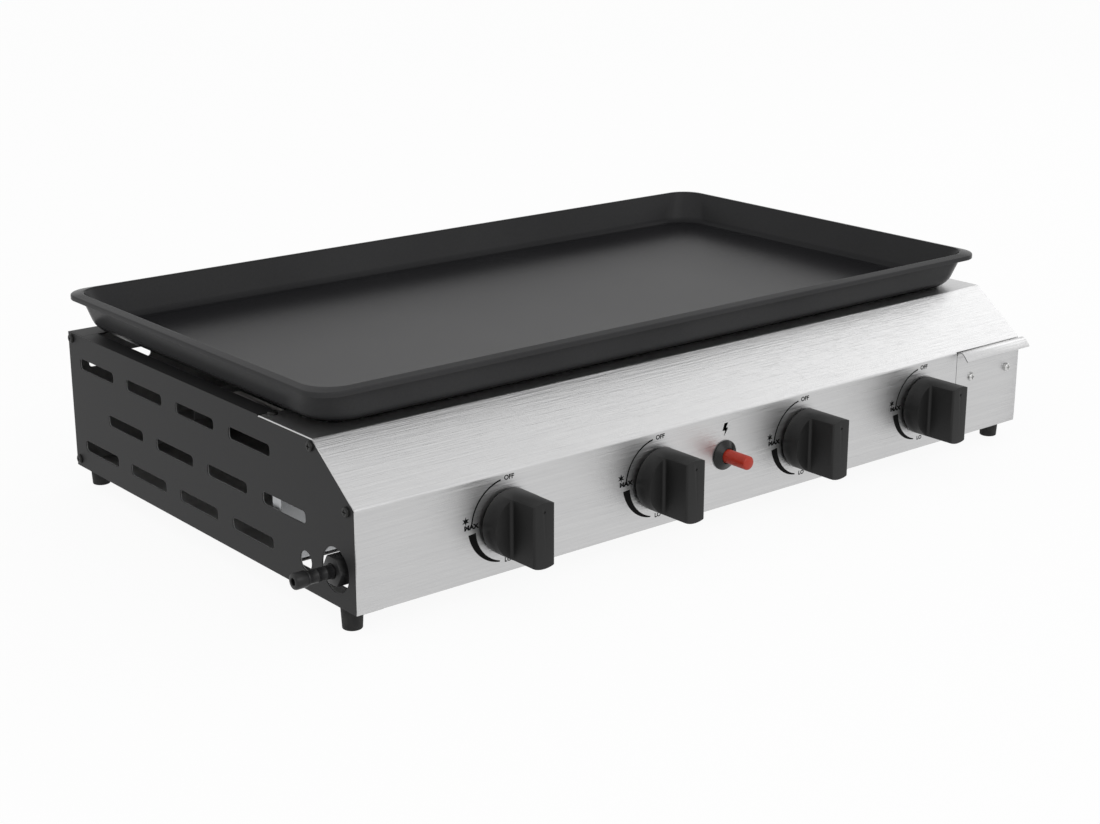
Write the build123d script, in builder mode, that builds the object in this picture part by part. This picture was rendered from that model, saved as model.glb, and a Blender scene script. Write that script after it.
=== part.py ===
from build123d import *
import math
import os

# Table-top gas griddle: folded sheet cabinet, four burners, lift-off plate and pull-out grease tray.
# Millimetres. +X to the right, +Y to the rear, +Z up. The pieces are drawn about the cabinet's middle and
# written with the origin on the floor under the middle of the whole griddle.

os.makedirs("parts", exist_ok=True)

# Cabinet
body_width = 760.0
body_depth = 450.0
side_height = 124.0
front_height = 82.5
slope_run = 53.5
roof_depth = 76.5
sheet = 1.2
front_sheet = 1.2
bend_radius = 2.4
front_lip = 14.0
roof_lip = 8.0
side_flange = 24.0
side_top_flange = 16.0
rear_flange = 24.0
rear_bottom_flange = 16.0
rear_return = 15.0
corner_tab = 16.0
fit = 0.3

# Feet
foot_height = 18.0
foot_top_radius = 8.8
foot_bottom_radius = 7.8
foot_edge = 1.0
foot_front_side_inset = 9.5
foot_rear_side_inset = 16.0
foot_front_inset = 22.0
foot_rear_inset = 12.0
foot_screw_depth = 10.0

# Cooling slots
slot_length = 61.3
slot_height = 10.0
slot_corner = 3.5
slots_in_row = 4
slot_top_row = 98.5
slot_middle_row = 58.0
slot_bottom_row = 23.0
slot_rear_margin = 20.0
slot_front_margin = 66.9
slot_stagger = 48.0
rear_slot_margin = 17.35
rear_slots = 9
rear_slot_row = 93.0

# Screws of the cabinet
screw_radius = 2.0
screw_hole_gap = 0.2
screw_head_radius = 4.0
screw_head_height = 2.4
screw_dome = 1.3
screw_length = 7.0
recess_length = 4.6
recess_width = 0.9
recess_depth = 1.2
rear_screw_inset = 6.5
rear_screw_top = 5.0
rear_screw_bottom = 7.0
brow_screw_back = 2.7
brow_screw_drop = 6.3
crease_screw_back = 10.3
crease_screw_drop = 3.3
roof_screw_inset = 5.5
roof_screw_side = 10.0

# Gas controls
knob_height = 43.1
inner_knob_x = 84.5
outer_knob_inset = 48.1
stem_radius = 3.0
stem_play = 0.05
stem_flat = 1.9
stem_in_knob = 14.0
press_travel = 2.5
shoulder_radius = 4.7
shoulder_width = 1.5
collar_radius = 5.0
collar_width = 3.0
gland_radius = 5.3
gland_width = 2.0
valve_radius = 11.0
valve_length = 43.0
valve_ear_width = 40.0
valve_ear_height = 16.0
valve_ear_thickness = 4.0
valve_ear_pitch = 28.0
saddle_width = 18.0
saddle_reach = 19.0
clamp_sheet = 1.8
clamp_bolt_reach = 14.5
outlet_radius = 6.0
outlet_length = 7.0
jet_hex = 9.0
jet_hex_length = 5.0
jet_nose_radius = 3.0
jet_nose_length = 8.0
jet_bore = 0.6
jet_in_burner = 6.0

# Knobs
knob_radius = 26.5
knob_depth = 45.2
knob_lift = 0.4
skirt_depth = 19.5
skirt_fall = 0.5
skirt_wall = 2.4
skirt_hollow = 8.0
hub_radius = 7.5
grip_width = 21.0
grip_draft = 0.3
grip_root = 2.6
grip_edge = 1.6
dot_radius = 1.1
dot_depth = 0.5
dot_inset = 7.5

# Gas rail and hose barb
rail_radius = 8.0
rail_wall = 1.4
rail_past_valve = 22.0
inlet_back = 28.0
inlet_height = 28.5
inlet_hole_radius = 18.0
spare_hole_radius = 8.0
spare_hole_back = 68.5
spare_hole_height = 23.5
hex_across = 22.0
hex_length = 14.0
hex_proud = 3.5
hex_edge = 1.0
spigot_length = 12.0
barb_reach = 37.0
barb_bulb_radius = 6.4
barb_bulb_length = 13.0
barb_neck_radius = 5.3
barb_ring_rise = 0.3
barb_rings = 3
barb_bore = 2.8

# Burners
burner_radius = 10.0
burner_wall = 1.0
burner_rear_gap = 46.0
port_radius = 1.1
port_pitch = 14.0
ports = 20
port_rise = 5.0
air_window_back = 14.0
air_window_length = 14.0
air_window_height = 6.0
tongue_width = 14.0
tongue_length = 16.0
tongue_thickness = 2.4
rail_foot = 29.0
rail_tall = 28.0
rail_upstand = 14.0
rail_overlap = 40.0
rail_screw_x = 150.0
rail_screw_rise = 8.0

# Heat shield and bottom pan
shield_back = 117.0
shield_flange = 14.0
shield_top_flange = 12.0
shield_screw_x = 165.0

# Igniter
igniter_x = -9.5
igniter_height = 47.0
bezel_radius = 12.9
bezel_front_radius = 8.2
bezel_depth = 5.0
igniter_thread_radius = 10.0
igniter_length = 34.0
igniter_nut_across = 26.0
igniter_nut_width = 5.0
button_radius = 6.0
button_reach = 30.0
button_play = 0.4
button_edge = 1.2
button_shoulder_radius = 7.4
button_shoulder_width = 3.0
button_travel = 6.0
core_radius = 7.6
terminal_radius = 1.6
terminal_length = 6.0
lead_radius = 1.5
insulator_radius = 3.5
insulator_length = 40.0
insulator_front = 18.0
electrode_side = 24.0
electrode_rise = 8.0
electrode_radius = 1.25
electrode_gap = 3.5
electrode_seat = 8.0
electrode_bend = 5.0
clip_size = 18.0

# Grease tray
tray_width = 91.4
tray_seam = 0.6
tray_sheet = 1.2
tray_wall = 1.0
tray_play = 0.8
tray_top_gap = 1.0
tray_floor_height = 7.5
tray_height = 58.0
tray_rear_gap = 12.0
lip_radius = 5.2
lip_reach = 1.8
lip_lean = 5.0
lip_corner_width = 3.5
lip_corner_height = 5.5
tray_screw_height = 56.5
tray_screw_left = 21.7
tray_screw_right = 17.1
cradle_wall_height = 26.0

# Griddle plate
plate_side_inset = 2.5
plate_front_overhang = 5.5
plate_rear_overhang = 14.0
plate_lift = 0.8
plate_sheet = 2.4
plate_height = 33.8
rim_corner = 24.0
wall_corner = 27.0
floor_corner = 36.0
rim_width = 6.0
rim_lip = 4.8
rim_edge = 2.8
plate_flare = 7.0
plate_bottom_radius = 14.0
stud_radius = 6.0
stud_inset_x = 35.0
stud_front_inset = 32.0
stud_rear_inset = 13.0
seat_gap = 0.2
drain_radius = 9.0
drain_wall = 1.2
drain_right_inset = 70.0
drain_front_inset = 42.0
drain_length = 22.0
drain_clearance = 4.0

# Places that follow from the sizes above
half_width = body_width / 2
front_y = -body_depth / 2
rear_y = body_depth / 2
base_z = foot_height
top_z = base_z + side_height
crease_z = base_z + front_height
brow_y = front_y + slope_run
roof_rear_y = brow_y + roof_depth
lean = math.atan2(slope_run, side_height - front_height)
panel_in = front_sheet + fit
inner_half = half_width - sheet - fit
knob_z = base_z + knob_height
tray_seam_x = half_width - tray_width
outer_knob_x = tray_seam_x - outer_knob_inset
knob_x = (-outer_knob_x, -inner_knob_x, inner_knob_x, outer_knob_x)
rail_y = front_y + inlet_back
rail_z = base_z + inlet_height
pan_z = base_z + sheet + fit
shield_y = front_y + shield_back
screw_hole = screw_radius + screw_hole_gap
slot_run = body_depth - slot_rear_margin - slot_stagger - slot_length - slot_front_margin
slot_pitch = slot_run / (slots_in_row - 1)
rear_slot_pitch = (body_width - 2 * rear_slot_margin - slot_length) / (rear_slots - 1)
plate_width = body_width - 2 * plate_side_inset
plate_front_y = brow_y - plate_front_overhang
plate_rear_y = rear_y + plate_rear_overhang
plate_depth = plate_rear_y - plate_front_y
origin_x = (screw_head_height - barb_reach) / 2
origin_y = (plate_rear_overhang - knob_depth) / 2
foot_places = [
    (side * (half_width - inset), y)
    for side in (-1, 1)
    for inset, y in (
        (foot_front_side_inset, front_y + foot_front_inset),
        (foot_rear_side_inset, rear_y - foot_rear_inset),
    )
]


def skin(depth):
    """Crease and brow corners of the front panel's profile, moved inwards by depth."""
    crease = (front_y + depth, crease_z - depth * math.tan(lean / 2))
    brow = (brow_y + depth * math.tan((math.pi / 2 - lean) / 2), top_z - depth)
    return crease, brow


def folded(points, thickness, side, radius=bend_radius):
    """Profile in the YZ plane of a sheet folded along points, its thickness on one side of them."""
    with BuildSketch(Plane.YZ) as profile:
        with BuildLine():
            FilletPolyline(*points, radius=radius)
            offset(amount=thickness, side=side)
        make_face()
    return profile.sketch


def facing(point, outward):
    """Plane at a point, its normal outward, its x along +Y on a face across X and along +X on any other."""
    return Plane(origin=point, x_dir=(0, 1, 0) if outward[0] else (1, 0, 0), z_dir=outward)


def pan_screw(length):
    """Pan-head screw with a cross recess, head up, its seat at the origin."""
    with BuildPart() as screw:
        Cylinder(screw_head_radius, screw_head_height, align=(Align.CENTER, Align.CENTER, Align.MIN))
        fillet(screw.edges().sort_by(Axis.Z)[-1], screw_dome)
        with Locations((0, 0, screw_head_height)):
            Box(recess_length, recess_width, 2 * recess_depth, mode=Mode.SUBTRACT)
            Box(recess_width, recess_length, 2 * recess_depth, mode=Mode.SUBTRACT)
        Cylinder(screw_radius, length, align=(Align.CENTER, Align.CENTER, Align.MAX))
    return screw.part


def write(part, name):
    """Set a finished piece about the whole griddle's middle, label it and write it."""
    placed = part.moved(Location((-origin_x, -origin_y, 0)))
    placed.label = name
    export_step(placed, f"parts/{name}.step")


def write_at_knobs(part, name):
    """Write a copy of a piece drawn at x = 0 for each gas control, numbered from the left."""
    for number, x in enumerate(knob_x, 1):
        write(part.moved(Location((x, 0, 0))), f"{name}_{number}")


def write_screws(name, length, seats):
    """Write a group of like screws, one at each seat: a point and the way its head points."""
    pattern = pan_screw(length)
    with BuildPart() as screws:
        for point, outward in seats:
            add(pattern.moved(facing(point, outward).location))
    write(screws.part, name)


# Screw places of the cabinet: rear edge, brow and crease on each side panel
side_screw_places = [
    (rear_y - rear_screw_inset, top_z - rear_screw_top),
    (rear_y - rear_screw_inset, base_z + rear_screw_bottom),
    (brow_y + brow_screw_back, top_z - brow_screw_drop),
    (front_y + crease_screw_back, crease_z - crease_screw_drop),
]
roof_screw_y = roof_rear_y - roof_screw_inset
roof_screw_places = [(side * (half_width - roof_screw_side), roof_screw_y) for side in (-1, 1)]
valve_screw_places = [(x + side * valve_ear_pitch / 2, knob_z) for x in knob_x for side in (-1, 1)]
igniter_z = base_z + igniter_height
drain_x = plate_width / 2 - drain_right_inset
drain_y = plate_front_y + drain_front_inset

# Front panel: one steel sheet with a bottom lip, upright face, slope, roof and a turned-down rear lip
with BuildPart() as front_panel:
    extrude(
        folded(
            [
                (front_y + front_lip, base_z),
                (front_y, base_z),
                (front_y, crease_z),
                (brow_y, top_z),
                (roof_rear_y, top_z),
                (roof_rear_y, top_z - roof_lip),
            ],
            front_sheet,
            Side.RIGHT,
        ),
        amount=half_width,
        both=True,
    )
    # End tabs inside the side panels take the brow and crease screws
    outer_crease, outer_brow = skin(front_sheet / 2)
    inner_crease, inner_brow = skin(corner_tab)
    tab_foot_z = crease_z - corner_tab
    tab_rear_y = brow_y + corner_tab
    for tab_x in (-inner_half, inner_half - front_sheet):
        with BuildSketch(Plane.YZ.offset(tab_x)):
            with BuildLine():
                Polyline(
                    (outer_crease[0], tab_foot_z),
                    outer_crease,
                    outer_brow,
                    (tab_rear_y, outer_brow[1]),
                    (tab_rear_y, inner_brow[1]),
                    inner_brow,
                    inner_crease,
                    (inner_crease[0], tab_foot_z),
                    close=True,
                )
            make_face()
        extrude(amount=front_sheet)
    # Opening for the grease tray at the right end
    with Locations((tray_seam_x, front_y + front_sheet + tray_seam, crease_z + tray_top_gap)):
        Box(
            body_width,
            4 * front_lip,
            4 * front_height,
            align=(Align.MIN, Align.MAX, Align.MAX),
            mode=Mode.SUBTRACT,
        )
    with Locations((tray_seam_x, front_y, base_z)):
        Box(body_width, 4 * front_lip, 2 * tray_floor_height, align=(Align.MIN, Align.CENTER, Align.CENTER),
            mode=Mode.SUBTRACT)
    # The bottom lip ends between the side panels' flanges, and the roof's lip between the side panels
    for side, corner in ((-1, Align.MAX), (1, Align.MIN)):
        with Locations((side * (half_width - side_flange - fit), front_y + panel_in, base_z)):
            Box(2 * side_flange, front_lip, 4 * bend_radius, align=(corner, Align.MIN, Align.CENTER),
                mode=Mode.SUBTRACT)
        with Locations((side * inner_half, roof_rear_y, top_z - panel_in)):
            Box(2 * side_flange, 4 * bend_radius, 2 * roof_lip, align=(corner, Align.CENTER, Align.MAX),
                mode=Mode.SUBTRACT)
    for x in knob_x:
        with Locations(facing((x, front_y, knob_z), (0, -1, 0))):
            Hole(shoulder_radius - 2 * fit, depth=2 * front_sheet)
    for x, z in valve_screw_places:
        with Locations(facing((x, front_y, z), (0, -1, 0))):
            Hole(screw_hole, depth=2 * front_sheet)
    with Locations(facing((igniter_x, front_y, igniter_z), (0, -1, 0))):
        Hole(igniter_thread_radius + fit, depth=2 * front_sheet)
    for x, y in roof_screw_places:
        with Locations((x, y, top_z)):
            Hole(screw_hole, depth=2 * front_sheet)
    with Locations((drain_x, drain_y, top_z)):
        Hole(drain_radius + drain_wall + drain_clearance, depth=2 * front_sheet)
    for y, z in side_screw_places[2:]:
        for side in (-1, 1):
            with Locations(facing((side * inner_half, y, z), (side, 0, 0))):
                Hole(screw_hole, depth=2 * front_sheet)
write(front_panel.part, "front_panel")


def side_panel(side):
    """Side panel: side is -1 for the left one and 1 for the right one."""
    crease, brow = skin(panel_in)
    outer_x = side * half_width
    into = (-side, 0, 0)
    with BuildPart() as panel:
        with BuildSketch(Plane(origin=(outer_x, 0, 0), x_dir=(0, 1, 0), z_dir=(1, 0, 0))):
            with BuildLine():
                Polyline(
                    (rear_y, base_z),
                    (front_y + panel_in, base_z),
                    crease,
                    brow,
                    (roof_rear_y + fit, top_z - panel_in),
                    (roof_rear_y + fit, top_z),
                    (rear_y, top_z),
                    close=True,
                )
            make_face()
        extrude(amount=sheet, dir=into)
        inward = (Align.MIN if side < 0 else Align.MAX, Align.MIN, Align.MIN)
        # Bottom flange that carries the feet, top flange beside the plate, and a tab under the roof's corner
        with Locations((outer_x, front_y + panel_in, base_z)):
            Box(side_flange, body_depth - panel_in - sheet - fit, sheet, align=inward)
        with Locations((outer_x, roof_rear_y + fit, top_z - sheet)):
            Box(side_top_flange, rear_y - rear_flange - fit - roof_rear_y - fit, sheet, align=inward)
        with Locations((outer_x, roof_rear_y - 2 * roof_screw_inset, top_z - panel_in - sheet)):
            Box(side_top_flange, 2 * roof_screw_inset - bend_radius - fit, sheet, align=inward)
        # Three rows of slots, the middle row shifted towards the front
        rows = ((slot_top_row, 0), (slot_middle_row, slot_stagger), (slot_bottom_row, 0))
        with BuildSketch(Plane(origin=(outer_x, 0, 0), x_dir=(0, 1, 0), z_dir=(1, 0, 0))):
            for row, shift in rows:
                for column in range(slots_in_row):
                    y = rear_y - slot_rear_margin - shift - slot_length / 2 - column * slot_pitch
                    with Locations((y, base_z + row)):
                        RectangleRounded(slot_length, slot_height, slot_corner)
            if side < 0:
                with Locations((rail_y, rail_z)):
                    Circle(inlet_hole_radius)
                with Locations((front_y + spare_hole_back, base_z + spare_hole_height)):
                    Circle(spare_hole_radius)
            for y, z in side_screw_places:
                with Locations((y, z)):
                    Circle(screw_hole)
        extrude(amount=2 * sheet, dir=into, mode=Mode.SUBTRACT)
        for x, y in foot_places + roof_screw_places:
            with Locations((x, y, top_z)):
                Hole(screw_hole, depth=2 * side_height)
    return panel.part


write(side_panel(-1), "left_side_panel")
write(side_panel(1), "right_side_panel")

# Rear panel: a tray-shaped sheet with returns inside the side panels, a top and a bottom flange, and slots
rail_screw_z = base_z + rail_foot + rail_screw_rise
rail_screw_places = [(x, rail_screw_z) for x in (-rail_screw_x, rail_screw_x)]
with BuildPart() as rear_panel:
    with Locations((0, rear_y, base_z)):
        Box(2 * inner_half, sheet, side_height, align=(Align.CENTER, Align.MAX, Align.MIN))
    with Locations((0, rear_y, top_z)):
        Box(2 * inner_half, rear_flange, sheet, align=(Align.CENTER, Align.MAX, Align.MAX))
    with Locations((0, rear_y, base_z)):
        Box(
            2 * (half_width - side_flange - fit),
            rear_bottom_flange,
            sheet,
            align=(Align.CENTER, Align.MAX, Align.MIN),
        )
    for side in (-1, 1):
        with Locations((side * (inner_half - sheet / 2), rear_y, top_z)):
            Box(sheet, rear_return, side_height - sheet - fit, align=(Align.CENTER, Align.MAX, Align.MAX))
    with BuildSketch(Plane.XZ.offset(-rear_y)):
        with Locations((0, base_z + rear_slot_row)):
            with GridLocations(rear_slot_pitch, slot_height, rear_slots, 1):
                RectangleRounded(slot_length, slot_height, slot_corner)
        for x, z in rail_screw_places:
            with Locations((x, z)):
                Circle(screw_hole)
    extrude(amount=2 * sheet, mode=Mode.SUBTRACT)
    for y, z in side_screw_places[:2]:
        for side in (-1, 1):
            with Locations(facing((side * inner_half, y, z), (side, 0, 0))):
                Hole(screw_hole, depth=2 * sheet)
write(rear_panel.part, "rear_panel")

# Bottom pan of the burner space, on the side panels' bottom flanges
pan_half = inner_half - sheet - fit
shield_screw_y = shield_y + shield_flange / 2 + sheet / 2
shield_screw_places = [(side * shield_screw_x, shield_screw_y) for side in (-1, 1)]
with BuildPart() as bottom_pan:
    with Locations((0, shield_y, pan_z)):
        Box(
            2 * pan_half,
            rear_y - sheet - fit - shield_y,
            sheet,
            align=(Align.CENTER, Align.MIN, Align.MIN),
        )
    for x, y in foot_places:
        with Locations((x, y, pan_z + sheet)):
            Hole(screw_head_radius + 2 * fit, depth=2 * sheet)
    for x, y in shield_screw_places:
        with Locations((x, y, pan_z + sheet)):
            Hole(screw_hole, depth=2 * sheet)
write(bottom_pan.part, "bottom_pan")

# Heat shield between the valves and the burner space
shield_foot_z = pan_z + sheet + fit
shield_top_z = top_z - panel_in - sheet
electrode_x = -inner_knob_x + electrode_side
electrode_z = knob_z + electrode_rise
with BuildPart() as heat_shield:
    extrude(
        folded(
            [
                (shield_y + shield_flange, shield_foot_z),
                (shield_y, shield_foot_z),
                (shield_y, shield_top_z),
                (shield_y - shield_top_flange, shield_top_z),
            ],
            sheet,
            Side.RIGHT,
        ),
        amount=pan_half,
        both=True,
    )
    for x in (-pan_half, pan_half - sheet):
        with Locations((x, shield_y + sheet, shield_foot_z + shield_flange)):
            Box(
                sheet,
                shield_top_flange,
                shield_top_z - shield_foot_z - 3 * shield_flange,
                align=(Align.MIN, Align.MAX, Align.MIN),
            )
    # The top corners clear the side panels' tabs
    for side in (-1, 1):
        with Locations((side * half_width, shield_y, top_z)):
            Box(2 * (side_top_flange + 2 * fit), 4 * shield_flange, 4 * (panel_in + sheet + fit),
                mode=Mode.SUBTRACT)
    for x in knob_x:
        with Locations(facing((x, shield_y, knob_z), (0, -1, 0))):
            Hole(burner_radius + fit, depth=2 * sheet)
    with Locations(facing((electrode_x, shield_y, electrode_z), (0, -1, 0))):
        Hole(insulator_radius + fit, depth=2 * sheet)
    for x, y in shield_screw_places:
        with Locations((x, y, shield_foot_z + sheet)):
            Hole(screw_hole, depth=2 * sheet)
write(heat_shield.part, "heat_shield")

# Rear burner rail: an angle on the rear panel with a slot for each burner's tongue
burner_rear_y = rear_y - burner_rear_gap
rail_front_y = burner_rear_y + tongue_length / 2
rail_floor_z = base_z + rail_foot
with BuildPart() as burner_rail:
    extrude(
        folded(
            [
                (rail_front_y, rail_floor_z + rail_tall),
                (rail_front_y, rail_floor_z),
                (rear_y - sheet - fit, rail_floor_z),
                (rear_y - sheet - fit, rail_floor_z + rail_upstand),
            ],
            sheet,
            Side.LEFT,
        ),
        amount=outer_knob_x + rail_overlap,
        both=True,
    )
    for x in knob_x:
        with Locations((x, rail_front_y, knob_z)):
            Box(tongue_width + 2 * fit, 4 * sheet, tongue_thickness + 2 * fit, mode=Mode.SUBTRACT)
    for x, z in rail_screw_places:
        with Locations(facing((x, rear_y - sheet - fit, z), (0, 1, 0))):
            Hole(screw_hole, depth=2 * sheet)
write(burner_rail.part, "burner_rail")

# Feet: tapered rubber, screwed to the side panels' bottom flanges from above
foot_names = ("foot_front_left", "foot_rear_left", "foot_front_right", "foot_rear_right")
for name, (x, y) in zip(foot_names, foot_places):
    with BuildPart() as foot:
        with BuildSketch(Plane.XY):
            with Locations((x, y)):
                Circle(foot_bottom_radius)
        with BuildSketch(Plane.XY.offset(base_z)):
            with Locations((x, y)):
                Circle(foot_top_radius)
        loft()
        fillet(foot.edges().sort_by(Axis.Z)[0], foot_edge)
        with Locations((x, y, base_z)):
            Hole(screw_radius, depth=foot_screw_depth)
    write(foot.part, name)

# Screws of the cabinet
foot_screw_length = sheet + foot_screw_depth - fit
write_screws("foot_screws", foot_screw_length, [((x, y, base_z + sheet), (0, 0, 1)) for x, y in foot_places])
for name, side in (("left_side_screws", -1), ("right_side_screws", 1)):
    seats = [((side * half_width, y, z), (side, 0, 0)) for y, z in side_screw_places]
    write_screws(name, screw_length, seats)
write_screws("roof_screws", screw_length, [((x, y, top_z), (0, 0, 1)) for x, y in roof_screw_places])
write_screws("rail_screws", screw_length, [((x, rear_y, z), (0, 1, 0)) for x, z in rail_screw_places])
shield_seats = [((x, y, shield_foot_z + sheet), (0, 0, 1)) for x, y in shield_screw_places]
write_screws("shield_screws", screw_length, shield_seats)

# Valves: each hangs on the front panel by its ears and sits on the gas rail with its saddle
valve_front_y = front_y + panel_in
valve_rear_y = valve_front_y + valve_length
chamber_length = gland_width + shoulder_width + collar_width + press_travel + 4 * fit
stem_bore = stem_radius + stem_play
stem_rear_y = valve_front_y + chamber_length + 2 * press_travel
clamp_z = rail_z - fit
with BuildPart() as valve:
    axis_plane = facing((0, valve_front_y, knob_z), (0, 1, 0))
    with BuildSketch(axis_plane):
        Circle(valve_radius)
    extrude(amount=valve_length)
    with BuildSketch(axis_plane):
        RectangleRounded(valve_ear_width, valve_ear_height, valve_ear_height / 4)
    extrude(amount=valve_ear_thickness)
    with BuildSketch(axis_plane.offset(valve_length)):
        Circle(outlet_radius)
    extrude(amount=outlet_length)
    with Locations((0, rail_y, rail_z + fit)):
        Box(saddle_width, 2 * saddle_reach, knob_z - rail_z - fit,
            align=(Align.CENTER, Align.CENTER, Align.MIN))
    with Locations((0, rail_y, rail_z)):
        Cylinder(rail_radius + fit / 2, 3 * saddle_width, rotation=(0, 90, 0), mode=Mode.SUBTRACT)
    with BuildSketch(Plane.XY.offset(rail_z + rail_radius - 2 * rail_wall)):
        with Locations((0, rail_y)):
            Circle(rail_wall * 2)
    extrude(amount=3 * rail_wall)
    with BuildSketch(axis_plane):
        Circle(gland_radius)
    extrude(amount=chamber_length, mode=Mode.SUBTRACT)
    with BuildSketch(axis_plane):
        Circle(stem_bore)
    extrude(amount=chamber_length + 4 * press_travel, mode=Mode.SUBTRACT)
    with BuildSketch(axis_plane.offset(valve_length + outlet_length)):
        Circle(jet_nose_radius)
    extrude(amount=-outlet_length, mode=Mode.SUBTRACT)
    for side in (-1, 1):
        with Locations(facing((side * valve_ear_pitch / 2, valve_front_y, knob_z), (0, -1, 0))):
            Hole(screw_radius, depth=valve_ear_thickness)
        with Locations(facing((0, rail_y + side * clamp_bolt_reach, rail_z + fit), (0, 0, -1))):
            Hole(screw_radius, depth=screw_length)
write_at_knobs(valve.part, "valve")

# Clamps that hold the valves on the gas rail, from below
with BuildPart() as valve_clamps:
    for x in knob_x:
        with BuildSketch(Plane.YZ.offset(x - saddle_width / 2)):
            with Locations((rail_y, rail_z)):
                Circle(rail_radius + fit / 2 + clamp_sheet)
            with Locations((rail_y, clamp_z)):
                Rectangle(2 * saddle_reach, clamp_sheet, align=(Align.CENTER, Align.MAX))
                Rectangle(3 * saddle_reach, 3 * rail_radius, align=(Align.CENTER, Align.MIN),
                          mode=Mode.SUBTRACT)
            with Locations((rail_y, rail_z)):
                Circle(rail_radius + fit / 2, mode=Mode.SUBTRACT)
        extrude(amount=saddle_width)
        for side in (-1, 1):
            with Locations((x, rail_y + side * clamp_bolt_reach, clamp_z)):
                Hole(screw_hole, depth=2 * clamp_sheet)
write(valve_clamps.part, "valve_clamps")
clamp_seats = [
    ((x, rail_y + side * clamp_bolt_reach, clamp_z - clamp_sheet), (0, 0, -1))
    for x in knob_x
    for side in (-1, 1)
]
write_screws("clamp_screws", screw_length, clamp_seats)
valve_screw_length = panel_in + valve_ear_thickness
valve_seats = [((x, front_y, z), (0, -1, 0)) for x, z in valve_screw_places]
write_screws("valve_screws", valve_screw_length, valve_seats)

# Jets in the valves' outlets, their noses in the burners' mouths
jet_y = valve_rear_y + outlet_length
with BuildPart() as jets:
    for x in knob_x:
        jet_plane = facing((x, jet_y, knob_z), (0, 1, 0))
        with BuildSketch(jet_plane):
            RegularPolygon(jet_hex / 2, 6, major_radius=False)
        extrude(amount=jet_hex_length)
        with BuildSketch(jet_plane.offset(-outlet_length + fit)):
            Circle(jet_nose_radius - fit / 3)
        extrude(amount=outlet_length + jet_hex_length + jet_nose_length - fit)
        with BuildSketch(jet_plane.offset(-outlet_length + fit)):
            Circle(jet_bore)
        extrude(amount=outlet_length + jet_hex_length + jet_nose_length, mode=Mode.SUBTRACT)
write(jets.part, "jets")

# Burner tubes: open mouth over the jet, air windows, two rows of ports, closed rear end with a tongue
burner_front_y = jet_y + jet_hex_length + jet_nose_length - jet_in_burner
burner_length = burner_rear_y - burner_front_y
port_middle_y = (shield_y + burner_rear_y) / 2
with BuildPart() as burner:
    mouth = facing((0, burner_front_y, knob_z), (0, 1, 0))
    with BuildSketch(mouth):
        Circle(burner_radius)
    extrude(amount=burner_length)
    with BuildSketch(mouth):
        Circle(burner_radius - burner_wall)
    extrude(amount=burner_length - burner_wall, mode=Mode.SUBTRACT)
    with Locations((0, burner_front_y + air_window_back, knob_z)):
        Box(3 * burner_radius, air_window_length, air_window_height,
            align=(Align.CENTER, Align.MIN, Align.CENTER), mode=Mode.SUBTRACT)
    with BuildSketch(Plane.YZ.offset(-2 * burner_radius)):
        with Locations((port_middle_y, knob_z + port_rise)):
            with GridLocations(port_pitch, 1, ports, 1):
                Circle(port_radius)
    extrude(amount=4 * burner_radius, mode=Mode.SUBTRACT)
    with Locations((0, burner_rear_y - burner_wall, knob_z)):
        Box(tongue_width, tongue_length + burner_wall, tongue_thickness,
            align=(Align.CENTER, Align.MIN, Align.CENTER))
write_at_knobs(burner.part, "burner")

# Gas rail: a tube along the front with a hole under each valve, closed at its right end
hex_face_x = -half_width - hex_proud
rail_left_x = hex_face_x + hex_length
rail_right_x = outer_knob_x + rail_past_valve
rail_bore = rail_radius - rail_wall
with BuildPart() as gas_rail:
    rail_end = facing((rail_left_x, rail_y, rail_z), (1, 0, 0))
    with BuildSketch(rail_end):
        Circle(rail_radius)
    extrude(amount=rail_right_x - rail_left_x)
    with BuildSketch(rail_end):
        Circle(rail_bore)
    extrude(amount=rail_right_x - rail_left_x - rail_wall, mode=Mode.SUBTRACT)
    for x in knob_x:
        with Locations((x, rail_y, rail_z + rail_radius)):
            Hole(rail_wall * 2 + fit / 2, depth=rail_radius)
write(gas_rail.part, "gas_rail")

# Gas inlet: a hexagon in the side panel's hole, a spigot in the gas rail and a ringed barb for the hose
barb_length = barb_reach - hex_proud
ring_pitch = (barb_length - barb_bulb_length) / barb_rings
with BuildPart() as hose_barb:
    hex_plane = facing((hex_face_x, rail_y, rail_z), (-1, 0, 0))
    with BuildSketch(hex_plane):
        RegularPolygon(hex_across / 2, 6, major_radius=False)
    extrude(amount=-hex_length)
    chamfer(hose_barb.faces().sort_by(Axis.X)[0].edges(), hex_edge)
    with BuildSketch(hex_plane.offset(-hex_length)):
        Circle(rail_bore - fit / 3)
    extrude(amount=-spigot_length)
    with BuildSketch(Plane(origin=(hex_face_x, rail_y, rail_z), x_dir=(-1, 0, 0), z_dir=(0, 1, 0))):
        with BuildLine():
            tip = barb_length
            bulb = barb_length - barb_bulb_length
            outline = [(-hex_edge, 0), (-hex_edge, barb_neck_radius)]
            for ring in range(barb_rings):
                outline.append((ring * ring_pitch, barb_neck_radius + barb_ring_rise))
                outline.append(((ring + 1) * ring_pitch, barb_neck_radius))
            outline += [(bulb, barb_bulb_radius), (bulb + barb_bulb_length / 2, barb_bulb_radius)]
            outline += [(tip, (barb_bulb_radius + barb_bore) / 2), (tip, 0)]
            Polyline(*outline, close=True)
        make_face()
    revolve(axis=Axis((hex_face_x, rail_y, rail_z), (1, 0, 0)))
    with BuildSketch(hex_plane.offset(barb_length)):
        Circle(barb_bore)
    extrude(amount=-(barb_length + hex_length + spigot_length), mode=Mode.SUBTRACT)
write(hose_barb.part, "hose_barb")

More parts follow.
